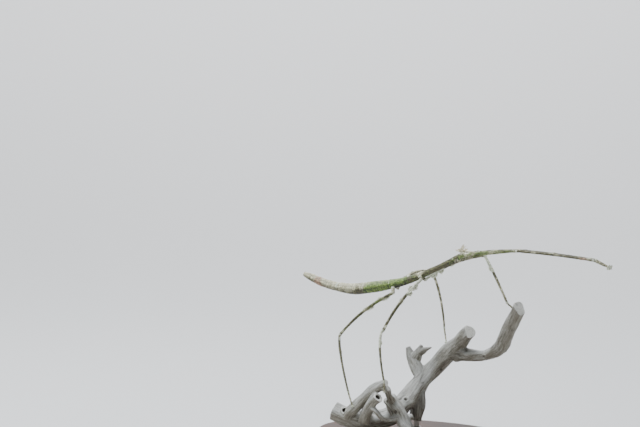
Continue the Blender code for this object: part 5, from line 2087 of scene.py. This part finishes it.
@dataclass
class DisplayStand:
    """The oval base with its felt and the two flanged rods that carry the driftwood."""

    base_corners: int = 224
    felt: float = 0.5
    # The base's edge: distance in from the outline, and share of the height above the felt.
    edge: tuple = (
        (1.1, 0.0), (0.45, 0.01), (0.12, 0.05), (0.0, 0.14), (0.0, 0.5), (0.02, 0.55), (0.34, 0.575),
        (0.52, 0.6), (0.34, 0.625), (0.02, 0.65), (0.0, 0.7), (0.06, 0.8), (0.28, 0.9),
        (0.62, 0.965), (1.05, 0.995), (1.6, 1.0),
    )
    rod_corners: int = 56
    rod_radius: float = 1.6
    flange: float = 1.2
    # A rod's collar: distance out from the rod, and height over the flange.
    collar: tuple = ((0.75, 0.0), (0.55, 0.12), (0.5, 0.9), (0.38, 1.05), (0.0, 1.1))
    screw_radius: float = 0.42
    # A screw's head: distance in from its edge, and height over the flange.
    screw: tuple = (
        (0.4, -0.3), (0.0, -0.3), (0.0, 0.03), (0.06, 0.08), (0.18, 0.1), (0.22, -0.05), (0.4, -0.05),
    )

    def lathe(self, name: str, middle: Array, halves: Array, corners: int, rows: list[Pair]) -> Item:
        """Turn an oval or round outline.

        Args:
            name: The object's name.
            middle: The axis's X and Y, in millimetres.
            halves: The outline's half sizes along X and Y.
            corners: Corners round it.
            rows: Distance in from the outline, and height, of each ring.

        Returns:
            The object.
        """
        angles = corner_angles(corners)
        rings = []
        for inward, height in rows:
            across = middle[0] + np.cos(angles) * (halves[0] - inward)
            deep = middle[1] + np.sin(angles) * (halves[1] - inward)
            rings.append(np.stack([across, deep, np.full(corners, height)], axis=1))
        return add_mesh(name, tube(np.array(rings)))

    def build_base(self) -> None:
        """Make the base and the felt under it."""
        low, high = (np.array(corner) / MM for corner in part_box("stand_base"))
        middle, halves, top = (low + high) / 2.0, (high - low) / 2.0, high[2]
        inmost = halves[1] - 1.0
        rows = [(inmost, self.felt), (halves[1] * 0.5, self.felt)]
        rows += [(inward, self.felt + share * (top - self.felt)) for inward, share in self.edge]
        rows += [(inward, top) for inward in np.linspace(4.0, inmost, 7)]
        base = self.lathe("oval_base", middle, halves, self.base_corners, rows)
        place_piece(base, BEECH, ["stand_base"])
        rows = [(inmost, 0.0), (3.2, 0.0), (2.6, 0.12), (2.6, 0.42), (2.9, self.felt + 0.1)]
        place_piece(self.lathe("felt_pad", middle, halves, self.base_corners, rows), FELT, [])

    def build_rod(self, node_name: str) -> None:
        """Make a rod with its bevelled flange, collar and three countersunk screws.

        Args:
            node_name: The solid that it replaces.
        """
        low, high = (np.array(corner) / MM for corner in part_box(node_name))
        middle, outer = (low + high) / 2.0, (high[0] - low[0]) / 2.0
        foot, top, inner = low[2], low[2] + self.flange, outer - self.rod_radius
        rows = [(outer - 0.3, foot), (0.0, foot), (0.0, top - 0.35), (0.12, top - 0.12), (0.35, top)]
        rows += [(inner - out, top + rise) for out, rise in self.collar]
        rows += [(inner, height) for height in np.linspace(top + 1.5, high[2] + 0.6, 20)]
        rod = self.lathe(f"{node_name}_rod", middle, np.full(2, outer), self.rod_corners, rows)
        place_piece(rod, STEEL, [node_name])
        rows = [(inward, top + rise) for inward, rise in self.screw]
        for number in range(3):
            angle = TURN * (number + 0.25) / 3.0
            out = np.array([math.cos(angle), math.sin(angle)]) * (outer + self.rod_radius + 0.5) / 2.0
            name, size = f"{node_name}_screw_{number}", np.full(2, self.screw_radius)
            place_piece(self.lathe(name, middle[:2] + out, size, self.rod_corners, rows), STEEL, [])

    def build(self) -> None:
        """Make the whole stand."""
        self.build_base()
        for node_name in ("stand_rod_fore", "stand_rod_rear"):
            self.build_rod(node_name)


# ---- The studio


@dataclass
class SoftBox:
    """A large soft lamp: its place, width, power in watts, colour, and what it is aimed at."""

    name: str
    place: Triple
    width: float
    power: float
    colour: str
    aim: Triple


@dataclass
class Studio:
    """A pale floor that sweeps slowly up into a wall all round, soft lamps, and the camera."""

    floor_radius: float = 0.45
    wall_radius: float = 3.4
    wall_rise: float = 1.3
    wall_curve: float = 2.3
    corners: int = 128
    lamps: tuple[SoftBox, ...] = (
        SoftBox("key_softbox", (-0.22, -0.22, 0.85), 0.4, 12.5, "#f2f7ff", (0.0, 0.0, 0.06)),
        SoftBox("fill_softbox", (1.0, -1.1, 0.7), 1.0, 0.8, "#fff6ea", (0.0, 0.0, 0.06)),
        SoftBox("backdrop_softbox", (-0.9, 1.5, 2.3), 2.0, 118.0, "#f8f9ff", (-1.0, 1.8, 0.0)),
    )
    ambient: str = "#d4d7db"
    ambient_strength: float = 0.11
    camera_place: Triple = (0.3506, -0.7187, 0.1829)
    camera_turn: Triple = (86.0, 0.0, 30.0)
    lens: float = 85.0
    sensor: float = 36.0

    def build_floor(self) -> None:
        """Make the floor and the wall that it sweeps up into."""
        rows = [(0.0001, 0.0), (0.2, 0.0), (self.floor_radius, 0.0)]
        span = self.wall_radius - self.floor_radius
        for share in np.linspace(0.04, 1.4, 40):
            rows.append((self.floor_radius + span * share, self.wall_rise * share ** self.wall_curve))
        points = [(radius * math.cos(angle), radius * math.sin(angle), height)
                  for radius, height in rows for angle in corner_angles(self.corners)]
        number = np.arange(len(points)).reshape(-1, self.corners)
        after = np.roll(number, -1, axis=1)
        faces = np.stack([number[:-1], after[:-1], after[1:], number[1:]], axis=-1).reshape(-1, 4)
        mesh = bpy.data.meshes.new("studio_floor")
        mesh.from_pydata(points, [], [*faces.tolist(), number[0].tolist()])
        mesh.shade_smooth()
        mesh.materials.append(EMULSION.material())
        show("studio_floor", mesh)

    def build_lamps(self) -> None:
        """Hang the soft lamps and set the even light of the room."""
        for box in self.lamps:
            lamp = bpy.data.lights.new(box.name, "AREA")
            lamp.shape, lamp.size, lamp.energy = "SQUARE", box.width, box.power
            lamp.color = linear(box.colour)[:3]
            item = show(box.name, lamp)
            item.location = box.place
            course = Vector(box.aim) - Vector(box.place)
            item.rotation_euler = course.to_track_quat("-Z", "Y").to_euler()
        world = bpy.data.worlds.new("studio_room")
        world.use_nodes = True
        background = world.node_tree.nodes["Background"]
        background.inputs["Color"].default_value = linear(self.ambient)
        background.inputs["Strength"].default_value = self.ambient_strength
        bpy.context.scene.world = world

    def build_camera(self) -> None:
        """Set up the camera."""
        camera = bpy.data.cameras.new("camera")
        camera.lens, camera.sensor_width = self.lens, self.sensor
        camera.clip_start, camera.clip_end = 0.01, 20.0
        item = show("camera", camera)
        item.location = self.camera_place
        item.rotation_euler = [math.radians(angle) for angle in self.camera_turn]
        bpy.context.scene.camera = item

    def build(self) -> None:
        """Make the floor, the light and the camera."""
        self.build_floor()
        self.build_lamps()
        self.build_camera()


def main() -> None:
    """Build the studio, the stand, the driftwood and the insect, in that order."""
    logging.basicConfig(level=logging.INFO, format="%(name)s: %(message)s")
    for part in (Studio(), DisplayStand(), Driftwood(), Insect()):
        LOG.info("building %s", type(part).__name__)
        part.build()


if __name__ == "__main__":
    main()
